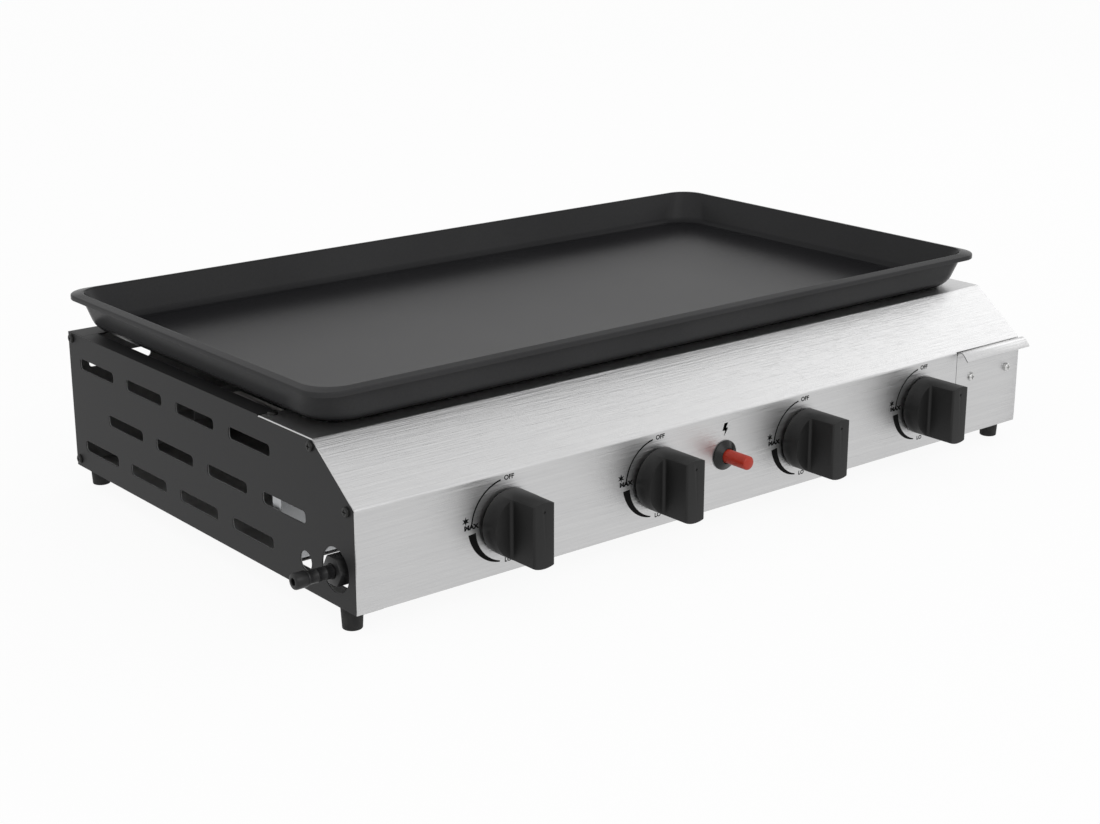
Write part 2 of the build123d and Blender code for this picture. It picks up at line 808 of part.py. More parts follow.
# Push collars, gland rings, spindles and knobs: a knob is pressed in against its collar, then turned
gland_y = valve_front_y
shoulder_y = gland_y + gland_width + fit
collar_y = shoulder_y + shoulder_width + fit
knob_back_y = front_y - press_travel - knob_lift
knob_front_y = front_y - knob_depth
skirt_y = front_y - skirt_depth
with BuildPart() as gland_rings:
    for x in knob_x:
        with BuildSketch(facing((x, gland_y, knob_z), (0, 1, 0))):
            Circle(gland_radius - fit / 6)
            Circle(stem_radius + fit, mode=Mode.SUBTRACT)
        extrude(amount=gland_width)
write(gland_rings.part, "gland_rings")

with BuildPart() as collar:
    with BuildSketch(facing((0, collar_y, knob_z), (0, 1, 0))):
        Circle(collar_radius)
        Circle(stem_bore, mode=Mode.SUBTRACT)
    extrude(amount=collar_width)
write_at_knobs(collar.part, "push_collar")

stem_front_y = knob_back_y - stem_in_knob
with BuildPart() as spindle:
    with BuildSketch(facing((0, stem_front_y, knob_z), (0, 1, 0))):
        Circle(stem_radius)
    extrude(amount=stem_rear_y - stem_front_y)
    with BuildSketch(facing((0, shoulder_y, knob_z), (0, 1, 0))):
        Circle(shoulder_radius)
    extrude(amount=shoulder_width)
    with Locations((0, stem_front_y, knob_z + stem_flat)):
        Box(4 * stem_radius, 2 * stem_in_knob, 2 * stem_radius,
            align=(Align.CENTER, Align.CENTER, Align.MIN), mode=Mode.SUBTRACT)
write_at_knobs(spindle.part, "spindle")

with BuildPart() as knob:
    # Seen from above: skirt that falls away from the grip, hollow roots and a slim grip
    with BuildSketch(Plane.XY.offset(knob_z - knob_radius)):
        with BuildLine():
            half_grip = grip_width / 2
            Polyline(
                (-2 * knob_radius, knob_back_y),
                (-2 * knob_radius, skirt_y + 2 * skirt_fall),
                (-half_grip - grip_draft, skirt_y),
                (-half_grip + grip_draft, knob_front_y),
                (half_grip - grip_draft, knob_front_y),
                (half_grip + grip_draft, skirt_y),
                (2 * knob_radius, skirt_y + 2 * skirt_fall),
                (2 * knob_radius, knob_back_y),
                close=True,
            )
        make_face()
        corners = vertices()
        fillet(corners.filter_by(lambda v: abs(v.Y - skirt_y) < fit), grip_root)
        fillet(vertices().group_by(Axis.Y)[0], grip_edge)
    extrude(amount=2 * knob_radius)
    with BuildSketch(facing((0, knob_back_y, knob_z), (0, -1, 0))):
        Circle(knob_radius)
    extrude(amount=knob_back_y - knob_front_y, mode=Mode.INTERSECT)
    # Hollow back around a hub with a flatted bore for the spindle
    hollow = facing((0, knob_back_y, knob_z), (0, -1, 0))
    with BuildSketch(hollow):
        Circle(knob_radius - skirt_wall)
        Circle(hub_radius, mode=Mode.SUBTRACT)
    extrude(amount=skirt_hollow, mode=Mode.SUBTRACT)
    with BuildSketch(hollow):
        Circle(stem_radius + stem_play)
        with Locations((0, stem_flat + stem_play)):
            Rectangle(4 * stem_radius, 2 * stem_radius, align=(Align.CENTER, Align.MIN),
                      mode=Mode.SUBTRACT)
    extrude(amount=stem_in_knob + fit, mode=Mode.SUBTRACT)
    with Locations(facing((0, knob_front_y, knob_z + knob_radius - dot_inset), (0, -1, 0))):
        Hole(dot_radius, depth=dot_depth)
write_at_knobs(knob.part, "knob")


# Igniter: housing with its bezel, ring nut, core, and the red button that is pushed in
bore_y = front_y - bezel_depth
shoulder_front_y = front_y + front_sheet
chamber_y = shoulder_front_y - fit
core_y = shoulder_front_y + button_shoulder_width + button_travel + fit
igniter_rear_y = front_y + igniter_length
igniter_axis = Axis((igniter_x, 0, igniter_z), (0, 1, 0))
with BuildPart() as igniter_housing:
    with BuildSketch(Plane(origin=(igniter_x, 0, igniter_z), x_dir=(1, 0, 0), z_dir=(0, 0, 1))):
        with BuildLine():
            Polyline(
                (button_radius + button_play, bore_y),
                (bezel_front_radius, bore_y + bezel_depth / 4),
                (bezel_radius, front_y - bezel_depth / 4),
                (bezel_radius, front_y),
                (igniter_thread_radius, front_y),
                (igniter_thread_radius, igniter_rear_y),
                (core_radius + fit, igniter_rear_y),
                (core_radius + fit, chamber_y),
                (button_radius + button_play, chamber_y),
                close=True,
            )
        make_face()
    revolve(axis=igniter_axis)
write(igniter_housing.part, "igniter_housing")

with BuildPart() as igniter_nut:
    with BuildSketch(facing((igniter_x, front_y + panel_in, igniter_z), (0, 1, 0))):
        RegularPolygon(igniter_nut_across / 2, 6, major_radius=False)
        Circle(igniter_thread_radius + fit / 2, mode=Mode.SUBTRACT)
    extrude(amount=igniter_nut_width)
write(igniter_nut.part, "igniter_nut")

with BuildPart() as igniter_core:
    with BuildSketch(facing((igniter_x, core_y, igniter_z), (0, 1, 0))):
        Circle(core_radius + fit / 2)
    extrude(amount=igniter_rear_y - core_y)
    with BuildSketch(facing((igniter_x, igniter_rear_y, igniter_z), (0, 1, 0))):
        Circle(terminal_radius)
    extrude(amount=terminal_length)
write(igniter_core.part, "igniter_core")

with BuildPart() as igniter_button:
    with BuildSketch(facing((igniter_x, front_y - button_reach, igniter_z), (0, 1, 0))):
        Circle(button_radius)
    extrude(amount=button_reach + front_sheet + button_shoulder_width)
    fillet(igniter_button.edges().sort_by(Axis.Y)[0], button_edge)
    with BuildSketch(facing((igniter_x, shoulder_front_y, igniter_z), (0, 1, 0))):
        Circle(button_shoulder_radius)
    extrude(amount=button_shoulder_width)
write(igniter_button.part, "igniter_button")

# Spark electrode in the heat shield beside the second burner, and the lead that feeds it
insulator_front_y = shield_y - insulator_front
insulator_rear_y = insulator_front_y + insulator_length
with BuildPart() as electrode_insulator:
    with BuildSketch(facing((electrode_x, insulator_front_y, electrode_z), (0, 1, 0))):
        Circle(insulator_radius)
    extrude(amount=insulator_length)
    with BuildSketch(facing((electrode_x, insulator_rear_y, electrode_z), (0, -1, 0))):
        Circle(electrode_radius + fit / 3)
    extrude(amount=electrode_seat, mode=Mode.SUBTRACT)
write(electrode_insulator.part, "electrode_insulator")

spark_x = -inner_knob_x + burner_radius + electrode_gap
spark_run = electrode_x - spark_x
rod_bend_y = insulator_rear_y + electrode_seat
with BuildPart() as electrode_rod:
    with BuildLine() as rod_path:
        FilletPolyline(
            (electrode_x, insulator_rear_y - electrode_seat + fit, electrode_z),
            (electrode_x, rod_bend_y, electrode_z),
            (spark_x, rod_bend_y + spark_run, electrode_z),
            radius=electrode_bend,
        )
    with BuildSketch(facing(rod_path.line @ 0, (0, 1, 0))):
        Circle(electrode_radius)
    sweep()
write(electrode_rod.part, "electrode_rod")

with BuildPart() as electrode_clip:
    with BuildSketch(facing((electrode_x, shield_y - fit, electrode_z), (0, -1, 0))):
        RectangleRounded(clip_size, clip_size, clip_size / 6)
        Circle(insulator_radius + fit / 2, mode=Mode.SUBTRACT)
    extrude(amount=sheet)
write(electrode_clip.part, "electrode_clip")

lead_start_y = igniter_rear_y + terminal_length
lead_run = (insulator_front_y - lead_start_y) / 2
lead_turn_y = lead_start_y + lead_run
with BuildPart() as ignition_lead:
    with BuildLine() as lead_path:
        FilletPolyline(
            (igniter_x, lead_start_y, igniter_z),
            (igniter_x, lead_turn_y - lead_run / 4, igniter_z),
            (electrode_x, lead_turn_y + lead_run / 4, electrode_z),
            (electrode_x, insulator_front_y, electrode_z),
            radius=lead_run / 2,
        )
    with BuildSketch(facing(lead_path.line @ 0, (0, 1, 0))):
        Circle(lead_radius)
    sweep()
write(ignition_lead.part, "ignition_lead")
print("ignition lead length", round(lead_path.wires()[0].length, 1))

# Grease tray: a folded box, and a steel front with a rolled lip to pull it by
tray_left_x = tray_seam_x + tray_seam
cradle_left_x = tray_left_x + tray_play
cradle_right_x = pan_half - sheet - fit
box_left_x = cradle_left_x + tray_sheet + tray_play
box_right_x = cradle_right_x - tray_sheet - tray_play
cradle_z = base_z + tray_floor_height - tray_sheet - tray_play
box_z = base_z + tray_floor_height
box_front_y = front_y + tray_sheet
box_rear_y = shield_y - tray_rear_gap - shield_top_flange
tray_screw_z = base_z + tray_screw_height
tray_screw_places = [
    (x, tray_screw_z) for x in (tray_seam_x + tray_screw_left, half_width - tray_screw_right)
]
with BuildPart() as grease_tray:
    with Locations((box_left_x, box_front_y, box_z)):
        Box(
            box_right_x - box_left_x,
            box_rear_y - box_front_y,
            tray_height,
            align=(Align.MIN, Align.MIN, Align.MIN),
        )
    fillet(grease_tray.edges().filter_by(Axis.Z), 2 * tray_wall)
    offset(amount=-tray_wall, openings=grease_tray.faces().sort_by(Axis.Z)[-1])
    for x, z in tray_screw_places:
        with Locations(facing((x, box_front_y, z), (0, -1, 0))):
            Hole(screw_hole, depth=2 * tray_wall)
write(grease_tray.part, "grease_tray")

lip_z = crease_z - lip_radius
lip_angle = math.radians(lip_lean)
with BuildPart() as tray_front:
    with BuildSketch(Plane.YZ.offset(tray_left_x)):
        with BuildLine():
            Line((front_y, base_z + fit), (front_y, lip_z))
            CenterArc((front_y - lip_radius, lip_z), lip_radius, 0, 180 - lip_lean)
            lip_start = (
                front_y - lip_radius - lip_radius * math.cos(lip_angle),
                lip_z + lip_radius * math.sin(lip_angle),
            )
            lip_end = (
                lip_start[0] - lip_reach * math.sin(lip_angle),
                lip_start[1] - lip_reach * math.cos(lip_angle),
            )
            Line(lip_start, lip_end)
            offset(amount=tray_sheet, side=Side.RIGHT)
        make_face()
    extrude(amount=half_width - tray_left_x)
    # Corners of the lip cut off on a slant
    corner_foot_z = lip_end[1] - tray_sheet
    corner_run = lip_corner_width * (lip_corner_height + tray_sheet) / lip_corner_height
    with BuildSketch(Plane.XZ.offset(lip_radius - front_y)):
        for x, inward in ((tray_left_x, 1), (half_width, -1)):
            Polygon(
                (x, corner_foot_z),
                (x + inward * corner_run, corner_foot_z),
                (x, lip_end[1] + lip_corner_height),
                align=None,
            )
    extrude(amount=2 * lip_radius, mode=Mode.SUBTRACT)
    for x, z in tray_screw_places:
        with Locations(facing((x, front_y, z), (0, -1, 0))):
            Hole(screw_hole, depth=2 * tray_sheet)
write(tray_front.part, "tray_front")
write_screws("tray_screws", screw_length, [((x, front_y, z), (0, -1, 0)) for x, z in tray_screw_places])

with BuildPart() as tray_cradle:
    with Locations((cradle_left_x, box_front_y + tray_play, cradle_z)):
        Box(
            cradle_right_x - cradle_left_x,
            shield_y - fit - box_front_y - tray_play,
            cradle_wall_height,
            align=(Align.MIN, Align.MIN, Align.MIN),
        )
    with Locations((cradle_left_x + tray_sheet, front_y, cradle_z + tray_sheet)):
        Box(
            cradle_right_x - cradle_left_x - 2 * tray_sheet,
            shield_y - fit - tray_sheet - front_y,
            2 * cradle_wall_height,
            align=(Align.MIN, Align.MIN, Align.MIN),
            mode=Mode.SUBTRACT,
        )
write(tray_cradle.part, "tray_cradle")

# Griddle plate: a pressed pan with flared walls, a flat rim with a turned-down edge, and a drain hole
plate_bottom_z = top_z + plate_lift
plate_top_z = plate_bottom_z + plate_height
plate_y = (plate_front_y + plate_rear_y) / 2


def pan_block(depth):
    """Flared block with a rounded bottom edge, its faces depth inside the plate's outer skin."""
    levels = (
        (plate_bottom_z + depth, rim_width + plate_flare + depth, floor_corner - depth),
        (plate_top_z, rim_width + depth, wall_corner - depth),
    )
    with BuildPart() as block:
        for z, inset, corner in levels:
            with BuildSketch(Plane.XY.offset(z)):
                with Locations((0, plate_y)):
                    RectangleRounded(plate_width - 2 * inset, plate_depth - 2 * inset, corner)
        loft(ruled=True)
        fillet(block.faces().sort_by(Axis.Z)[0].edges(), plate_bottom_radius - depth)
    return block.part


pan_outside = pan_block(0)
pan_inside = pan_block(plate_sheet)
with BuildPart() as griddle_plate:
    with BuildSketch(Plane.XY.offset(plate_top_z - rim_lip)):
        with Locations((0, plate_y)):
            RectangleRounded(plate_width, plate_depth, rim_corner)
    extrude(amount=rim_lip)
    fillet(griddle_plate.faces().sort_by(Axis.Z)[-1].edges(), rim_edge)
    with BuildSketch(Plane.XY.offset(plate_top_z - rim_lip)):
        with Locations((0, plate_y)):
            RectangleRounded(
                plate_width - 2 * plate_sheet,
                plate_depth - 2 * plate_sheet,
                rim_corner - plate_sheet,
            )
    extrude(amount=rim_lip - plate_sheet, mode=Mode.SUBTRACT)
    add(pan_outside)
    add(pan_inside, mode=Mode.SUBTRACT)
    with Locations((drain_x, drain_y, plate_top_z)):
        Hole(drain_radius, depth=2 * plate_height)
write(griddle_plate.part, "griddle_plate")

with BuildPart() as drain_spout:
    with BuildSketch(Plane.XY.offset(plate_bottom_z)):
        with Locations((drain_x, drain_y)):
            Circle(drain_radius + drain_wall)
            Circle(drain_radius, mode=Mode.SUBTRACT)
    extrude(amount=-drain_length)
write(drain_spout.part, "drain_spout")

stud_x = plate_width / 2 - stud_inset_x
stud_places = [
    (side * stud_x, y)
    for side in (-1, 1)
    for y in (plate_front_y + stud_front_inset, rear_y - stud_rear_inset)
]
with BuildPart() as plate_studs:
    for x, y in stud_places:
        with BuildSketch(Plane.XY.offset(plate_bottom_z)):
            with Locations((x, y)):
                Circle(stud_radius)
        extrude(amount=-(plate_lift - seat_gap))
write(plate_studs.part, "plate_studs")
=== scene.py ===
import math

import bmesh
import bpy
from mathutils import Matrix, Vector


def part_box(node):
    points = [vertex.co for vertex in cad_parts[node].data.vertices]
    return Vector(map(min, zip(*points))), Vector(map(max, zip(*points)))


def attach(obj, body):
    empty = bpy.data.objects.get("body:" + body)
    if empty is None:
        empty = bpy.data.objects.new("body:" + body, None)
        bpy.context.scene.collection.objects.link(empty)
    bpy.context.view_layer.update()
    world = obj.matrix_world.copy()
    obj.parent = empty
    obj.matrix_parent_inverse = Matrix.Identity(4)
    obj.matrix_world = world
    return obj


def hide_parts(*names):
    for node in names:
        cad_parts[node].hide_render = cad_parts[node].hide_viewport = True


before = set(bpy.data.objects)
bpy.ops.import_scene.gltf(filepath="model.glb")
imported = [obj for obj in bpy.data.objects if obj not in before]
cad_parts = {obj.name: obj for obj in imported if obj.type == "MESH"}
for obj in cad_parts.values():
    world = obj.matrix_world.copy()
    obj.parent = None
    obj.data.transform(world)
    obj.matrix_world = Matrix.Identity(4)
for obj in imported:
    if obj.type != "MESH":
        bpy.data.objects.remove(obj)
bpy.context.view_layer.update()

bpy.ops.object.select_all(action="DESELECT")


# Side and rear panels: folded sheet steel, punched with rows of cooling slots, then powder-coated.
# The coat is a satin charcoal with a fine grain, and it lies a little unevenly over the sheet.
# Inside they only have a dull grey primer, like the bottom pan and burner rail behind the slots; its pale
# tone is partly painted light, standing in for the light inside the cabinet.

class Value:
    """One output of a shader node. Arithmetic on it adds Math nodes, and node() adds any other kind."""

    def __init__(self, tree, socket=None):
        self.tree = tree
        self.socket = socket

    def node(self, kind, settings=(), inputs=(), out=0):
        made = self.tree.nodes.new("ShaderNode" + kind)
        for name, setting in dict(settings).items():
            setattr(made, name, setting)
        for name, given in dict(inputs).items():
            if isinstance(given, Value):
                self.tree.links.new(given.socket, made.inputs[name])
            else:
                made.inputs[name].default_value = given
        return Value(self.tree, made.outputs[out]) if out is not None else None

    def math(self, operation, first, second):
        return self.node("Math", {"operation": operation}, {0: first, 1: second})

    def __add__(self, other):
        return self.math("ADD", self, other)

    def __radd__(self, other):
        return self.math("ADD", other, self)

    def __mul__(self, other):
        return self.math("MULTIPLY", self, other)

    def __rmul__(self, other):
        return self.math("MULTIPLY", other, self)

    def noise(self, scale, detail=2.0, stretch=(1.0, 1.0, 1.0)):
        """Noise on this place, its grain drawn out along an axis where stretch is below 1."""
        spread = self.node("Mapping", {}, {"Vector": self, "Scale": stretch})
        return self.node("TexNoise", {}, {"Vector": spread, "Scale": scale, "Detail": detail})

    def spread(self, low, high):
        """This value's range from low to high, drawn out to 0 to 1."""
        return self.node("MapRange", {}, {0: self, 1: low, 2: high})

    def axes(self):
        """The x, y and z of this place."""
        split = self.node("SeparateXYZ", {}, {0: self}).socket.node
        return [Value(self.tree, split.outputs[axis]) for axis in "XYZ"]

    def between(self, first, second):
        """A colour from the first to the second as this value goes from 0 to 1."""
        ends = [end if isinstance(end, Value) else (*end, 1.0) for end in (first, second)]
        return self.node("Mix", {"data_type": "RGBA"}, {0: self, 6: ends[0], 7: ends[1]}, out=2)

    def dent(self, strength, depth):
        """A surface normal that rises and falls with this value."""
        return self.node("Bump", {}, {"Height": self, "Strength": strength, "Distance": depth})

    def feed(self, shader, socket):
        self.tree.links.new(self.socket, shader.inputs[socket])


def finish_of(name, fixed):
    """A new material: it, its shader with the fixed values set, and the place on the piece in metres."""
    material = bpy.data.materials.new(name)
    material.use_nodes = True
    shader = material.node_tree.nodes["Principled BSDF"]
    for socket, value in fixed.items():
        shader.inputs[socket].default_value = value
    return material, shader, Value(material.node_tree).node("TexCoord", out="Object")


def coat(material, *nodes):
    """Give solids of the frame their finish."""
    for name in nodes:
        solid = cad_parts[name]
        for seat in solid.material_slots:
            seat.material = material


paint_dark = (0.0135, 0.0135, 0.014)
paint_pale = (0.0185, 0.0185, 0.019)
primer_painted_light_dark = (0.26, 0.26, 0.26)
primer_painted_light_pale = (0.34, 0.34, 0.337)
coat_depth = 0.0006
flange_depth = 0.0030

charcoal_paint, shader, place = finish_of("charcoal_paint", {"Specular IOR Level": 0.25})
grain = place.noise(1300.0, 2.0)
cloud = place.noise(11.0, 3.0)
dust = place.noise(60.0, 4.0)
left_lo, left_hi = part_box("left_side_panel")
right_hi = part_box("right_side_panel")[1]
rear_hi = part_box("rear_panel")[1]
along, across, height = place.axes()
inside = along.math("GREATER_THAN", along, left_lo.x + coat_depth)
inside = inside * along.math("LESS_THAN", along, right_hi.x - coat_depth)
inside = inside * along.math("LESS_THAN", across, rear_hi.y - coat_depth)
inside = inside * along.math("LESS_THAN", height, left_hi.z - flange_depth)
outer_coat = (0.5 * grain + 0.5 * cloud).spread(0.35, 0.65).between(paint_dark, paint_pale)
# Inner faces: grey primer, made pale as painted light for the light inside the cabinet.
inner_primer_painted_light = dust.spread(0.3, 0.7).between(primer_painted_light_dark, primer_painted_light_pale)
inside.between(outer_coat, inner_primer_painted_light).feed(shader, "Base Color")
(0.44 + 0.14 * grain + 0.06 * cloud + 0.15 * inside).feed(shader, "Roughness")
grain.dent(0.12, 0.0002).feed(shader, "Normal")
coat(charcoal_paint, "left_side_panel", "right_side_panel", "rear_panel")

# Bottom pan and burner rail: the same grey primer, made pale as painted light for the light inside the
# cabinet.
grey_primer, shader, place = finish_of("grey_primer", {"Specular IOR Level": 0.2})
dust = place.noise(60.0, 4.0)
dust.spread(0.3, 0.7).between(primer_painted_light_dark, primer_painted_light_pale).feed(shader, "Base Color")
(0.62 + 0.2 * dust).feed(shader, "Roughness")
coat(grey_primer, "bottom_pan", "burner_rail")


# Front panel: one sheet of stainless steel, folded into a face, a slope and a roof under the plate.
# It is brushed from end to end, so its grain is drawn out along the front and its gleam is streaked.

steel_shade = (0.53, 0.53, 0.534)
steel_gleam = (0.60, 0.60, 0.60)

brushed_steel, shader, place = finish_of("brushed_steel", {"Metallic": 1.0})
hairline = place.noise(1.0, 3.0, (30.0, 2600.0, 2600.0))
stroke = place.noise(1.0, 4.0, (15.0, 800.0, 800.0))
streak = 0.35 * hairline + 0.65 * stroke
streak.spread(0.3, 0.7).between(steel_shade, steel_gleam).feed(shader, "Base Color")
(0.29 + 0.12 * streak).feed(shader, "Roughness")
streak.dent(0.75, 0.0005).feed(shader, "Normal")
coat(brushed_steel, "front_panel")


# Dial marks: black ink printed on the steel round each knob, with a bolt over the igniter.
# Each dial has its words, a star where the burner lights, a fine arc and a tapering arc for the flame.

ink_thickness = 0.00004
ink_dark = (0.002, 0.002, 0.002)
ink_pale = (0.005, 0.005, 0.005)
fine_arc_radius = 0.0346
fine_arc_width = 0.0013
fine_arc_angles = (101.0, 173.0)
flame_arc_outer = 0.0379
flame_arc_inner = 0.0308
flame_arc_point = 0.0325
flame_arc_taper = 0.86
flame_arc_angles = (186.0, 257.0)
arc_steps = 240
star_radius = 0.0037
star_waist = 0.40
star_place = (-0.0400, 0.0080)
type_size = 0.005
dial_words = {
    # letters: width, height, middle across and up from the knob's axis, weight
    "OFF": (0.0096, 0.0041, 0.0018, 0.0350, 0.00018),
    "MAX": (0.0142, 0.0042, -0.0344, 0.0024, 0.00034),
    "LO": (0.0066, 0.0038, 0.0004, -0.0320, 0.00018),
}
bolt_place = (0.0005, 0.0222)
bolt_outline = (
    (-0.0012, 0.0056), (0.0032, 0.0058), (0.0008, 0.0016), (0.0034, 0.0012),
    (-0.0014, -0.0058), (-0.0003, -0.0009), (-0.0034, -0.0006),
)


def hold(piece):
    """Make one piece the only one selected, and the active one."""
    bpy.ops.object.select_all(action="DESELECT")
    piece.select_set(True)
    bpy.context.view_layer.objects.active = piece


def pick(kind, test):
    """In edit mode, select what passes a test of its middle and normal, or for edges direction."""
    bpy.ops.mesh.select_mode(type=kind)
    bpy.ops.mesh.select_all(action="DESELECT")
    shape = bmesh.from_edit_mesh(bpy.context.object.data)
    if kind == "VERT":
        for corner in shape.verts:
            corner.select_set(test(corner.co, corner.normal))
    elif kind == "EDGE":
        for edge in shape.edges:
            ends = [corner.co for corner in edge.verts]
            edge.select_set(test((ends[0] + ends[1]) / 2, (ends[1] - ends[0]).normalized()))
    else:
        for face in shape.faces:
            face.select_set(test(face.calc_center_median(), face.normal))
    bmesh.update_edit_mesh(bpy.context.object.data)


def modify(kind, **settings):
    """Add a modifier to the active piece, set it and apply it."""
    bpy.ops.object.modifier_add(type=kind)
    modifier = bpy.context.object.modifiers[-1]
    for name, value in settings.items():
        setattr(modifier, name, value)
    bpy.ops.object.modifier_apply(modifier=modifier.name)


def join(pieces):
    """Join several pieces into the first of them."""
    hold(pieces[0])
    for piece in pieces:
        piece.select_set(True)
    bpy.ops.object.join()
    return bpy.context.object


def twin(piece, move):
    """A copy of a piece with a mesh of its own, moved to its place."""
    copy = piece.copy()
    copy.data = piece.data.copy()
    copy.data.transform(move)
    bpy.context.collection.objects.link(copy)
    return copy


def fit(piece, name, body, material, nodes=(), smooth=32.0):
    """Name a finished piece, settle its place, give it its finish and body and the solids it stands for."""
    hold(piece)
    bpy.ops.object.transform_apply(location=True, rotation=True, scale=True)
    bpy.ops.object.shade_smooth_by_angle(angle=math.radians(smooth))
    piece.name = name
    piece.data.name = name
    piece.data.materials.clear()
    piece.data.materials.append(material)
    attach(piece, body)
    if nodes:
        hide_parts(*nodes)
    return piece


def print_word(letters, width, height, x, z, weight):
    """A word drawn flat, of a set width and height, its middle at x, z."""
    bpy.ops.object.text_add()
    word = bpy.context.object
    word.data.body = letters
    word.data.size = type_size
    word.data.offset = weight
    word.data.resolution_u = 6
    bpy.ops.object.convert(target="MESH")
    corners = [corner.co for corner in word.data.vertices]
    low = Vector([min(co[axis] for co in corners) for axis in range(3)])
    high = Vector([max(co[axis] for co in corners) for axis in range(3)])
    middle = (low + high) / 2
    size = high - low
    grow = Matrix.Diagonal((width / size.x, height / size.y, 1.0, 1.0))
    word.data.transform(Matrix.Translation((x, z, 0)) @ grow @ Matrix.Translation(-middle))
    return word


def print_arc(outer, inner, angles):
    """A ring cut down to the part of it between two angles."""
    bpy.ops.mesh.primitive_circle_add(vertices=arc_steps, radius=outer, fill_type="NGON")
    bpy.ops.object.mode_set(mode="EDIT")
    pick("FACE", lambda middle, normal: True)
    bpy.ops.mesh.inset(thickness=outer - inner)
    bpy.ops.mesh.delete(type="FACE")
    pick("FACE", lambda middle, normal: not
         angles[0] < math.degrees(math.atan2(middle.y, middle.x)) % 360 < angles[1])
    bpy.ops.mesh.delete(type="FACE")
    bpy.ops.object.mode_set(mode="OBJECT")
    return bpy.context.object


def ink_down(marks, x, z):
    """Turn flat marks to face the front and lay them on the panel, with the ink's own thickness."""
    hold(marks)
    stand = Matrix.Translation((x, panel_lo.y, z)) @ Matrix.Rotation(math.radians(90), 4, "X")
    marks.data.transform(stand)
    modify("SOLIDIFY", thickness=ink_thickness, offset=1.0)
    return marks


panel_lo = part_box("front_panel")[0]

dial_ink, shader, place = finish_of("dial_ink", {"Specular IOR Level": 0.06})
speck = place.noise(4200.0, 2.0)
speck.between(ink_dark, ink_pale).feed(shader, "Base Color")
(0.42 + 0.2 * speck).feed(shader, "Roughness")

flame_arc = print_arc(flame_arc_outer, flame_arc_inner, flame_arc_angles)
for corner in flame_arc.data.vertices:
    turned = math.degrees(math.atan2(corner.co.y, corner.co.x)) % 360
    way = (turned - flame_arc_angles[0]) / (flame_arc_angles[1] - flame_arc_angles[0])
    reach = corner.co.length
    corner.co *= (reach + (flame_arc_point - reach) * flame_arc_taper * min(max(way, 0), 1)) / reach

bpy.ops.mesh.primitive_circle_add(vertices=12, radius=star_radius, fill_type="NGON",
                                  location=(*star_place, 0))
star = bpy.context.object
bpy.ops.object.transform_apply()
bpy.ops.object.mode_set(mode="EDIT")
star_middle = Vector((*star_place, 0))
pick("VERT", lambda co, normal:
     round(math.degrees(math.atan2(*(co - star_middle).xy)) / 30) % 2 == 1)
bpy.ops.transform.resize(value=(star_waist,) * 3, center_override=star_middle)
bpy.ops.object.mode_set(mode="OBJECT")

dial = join([
    flame_arc,
    print_arc(fine_arc_radius + fine_arc_width / 2, fine_arc_radius - fine_arc_width / 2,
              fine_arc_angles),
    star,
    *(print_word(letters, *sizes) for letters, sizes in dial_words.items()),
])
for number in range(1, 5):
    knob_lo, knob_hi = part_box(f"knob_{number}")
    axis = (knob_lo + knob_hi) / 2
    marks = ink_down(twin(dial, Matrix.Identity(4)), axis.x, axis.z)
    fit(marks, f"dial_marks_{number}", "cabinet", dial_ink)
bpy.data.objects.remove(dial)

bpy.ops.mesh.primitive_circle_add(vertices=len(bolt_outline), radius=type_size, fill_type="NGON")
bolt = bpy.context.object
for corner, (x, z) in zip(bolt.data.vertices, bolt_outline):
    corner.co = (x, z, 0)
igniter_lo, igniter_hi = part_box("igniter_housing")
igniter_axis = (igniter_lo + igniter_hi) / 2
ink_down(bolt, igniter_axis.x + bolt_place[0], igniter_axis.z + bolt_place[1])
fit(bolt, "igniter_bolt_mark", "cabinet", dial_ink)


# Heat shield, the grease tray's box, its cradle and the small brackets inside: folded from thin sheet.
# They are bare galvanised steel, so the zinc shows as pale and dull flakes of a few millimetres.

zinc_dull = (0.36, 0.37, 0.38)
zinc_pale = (0.56, 0.57, 0.58)

galvanised_sheet, shader, place = finish_of("galvanised_sheet", {"Metallic": 0.9})
flake = place.node("TexVoronoi", {}, {"Vector": place, "Scale": 190.0}, out="Color")
tone = flake.node("SeparateColor", {}, {0: flake})
haze = place.noise(26.0, 4.0)
(0.6 * tone + 0.4 * haze).between(zinc_dull, zinc_pale).feed(shader, "Base Color")
(0.36 + 0.18 * tone + 0.08 * haze).feed(shader, "Roughness")
haze.dent(0.05, 0.0006).feed(shader, "Normal")
coat(galvanised_sheet, "heat_shield", "valve_clamps", "igniter_nut", "electrode_clip", "grease_tray",
     "tray_cradle")


# Feet: four tapered pads of black rubber, each held up into the cabinet by a screw from below.
# The rubber is dull, with a faint bloom of dust that makes it greyer in patches.

rubber_dark = (0.012, 0.012, 0.012)
rubber_bloom = (0.024, 0.024, 0.023)

foot_rubber, shader, place = finish_of("foot_rubber", {"Specular IOR Level": 0.3})
pore = place.noise(900.0, 3.0)
bloom = place.noise(120.0, 3.0)
bloom.spread(0.35, 0.7).between(rubber_dark, rubber_bloom).feed(shader, "Base Color")
(0.6 + 0.2 * pore).feed(shader, "Roughness")
pore.dent(0.2, 0.0002).feed(shader, "Normal")
coat(foot_rubber, "foot_front_left", "foot_rear_left", "foot_front_right", "foot_rear_right")


# Screws: black pan heads with cross recesses hold the sheets, bright ones hold the tray and the inside.
# The black ones are oxidised and lightly oiled, the bright ones zinc-plated.

oxide_dark = (0.006, 0.006, 0.006)
oxide_oiled = (0.013, 0.013, 0.012)
plating_dull = (0.52, 0.52, 0.52)
plating_bright = (0.68, 0.68, 0.67)

black_screw, shader, place = finish_of("black_screw", {"Specular IOR Level": 0.3})
oil = place.noise(700.0, 2.0)
oil.between(oxide_dark, oxide_oiled).feed(shader, "Base Color")
(0.32 + 0.2 * oil).feed(shader, "Roughness")
coat(black_screw, "left_side_screws", "right_side_screws", "roof_screws", "rail_screws")

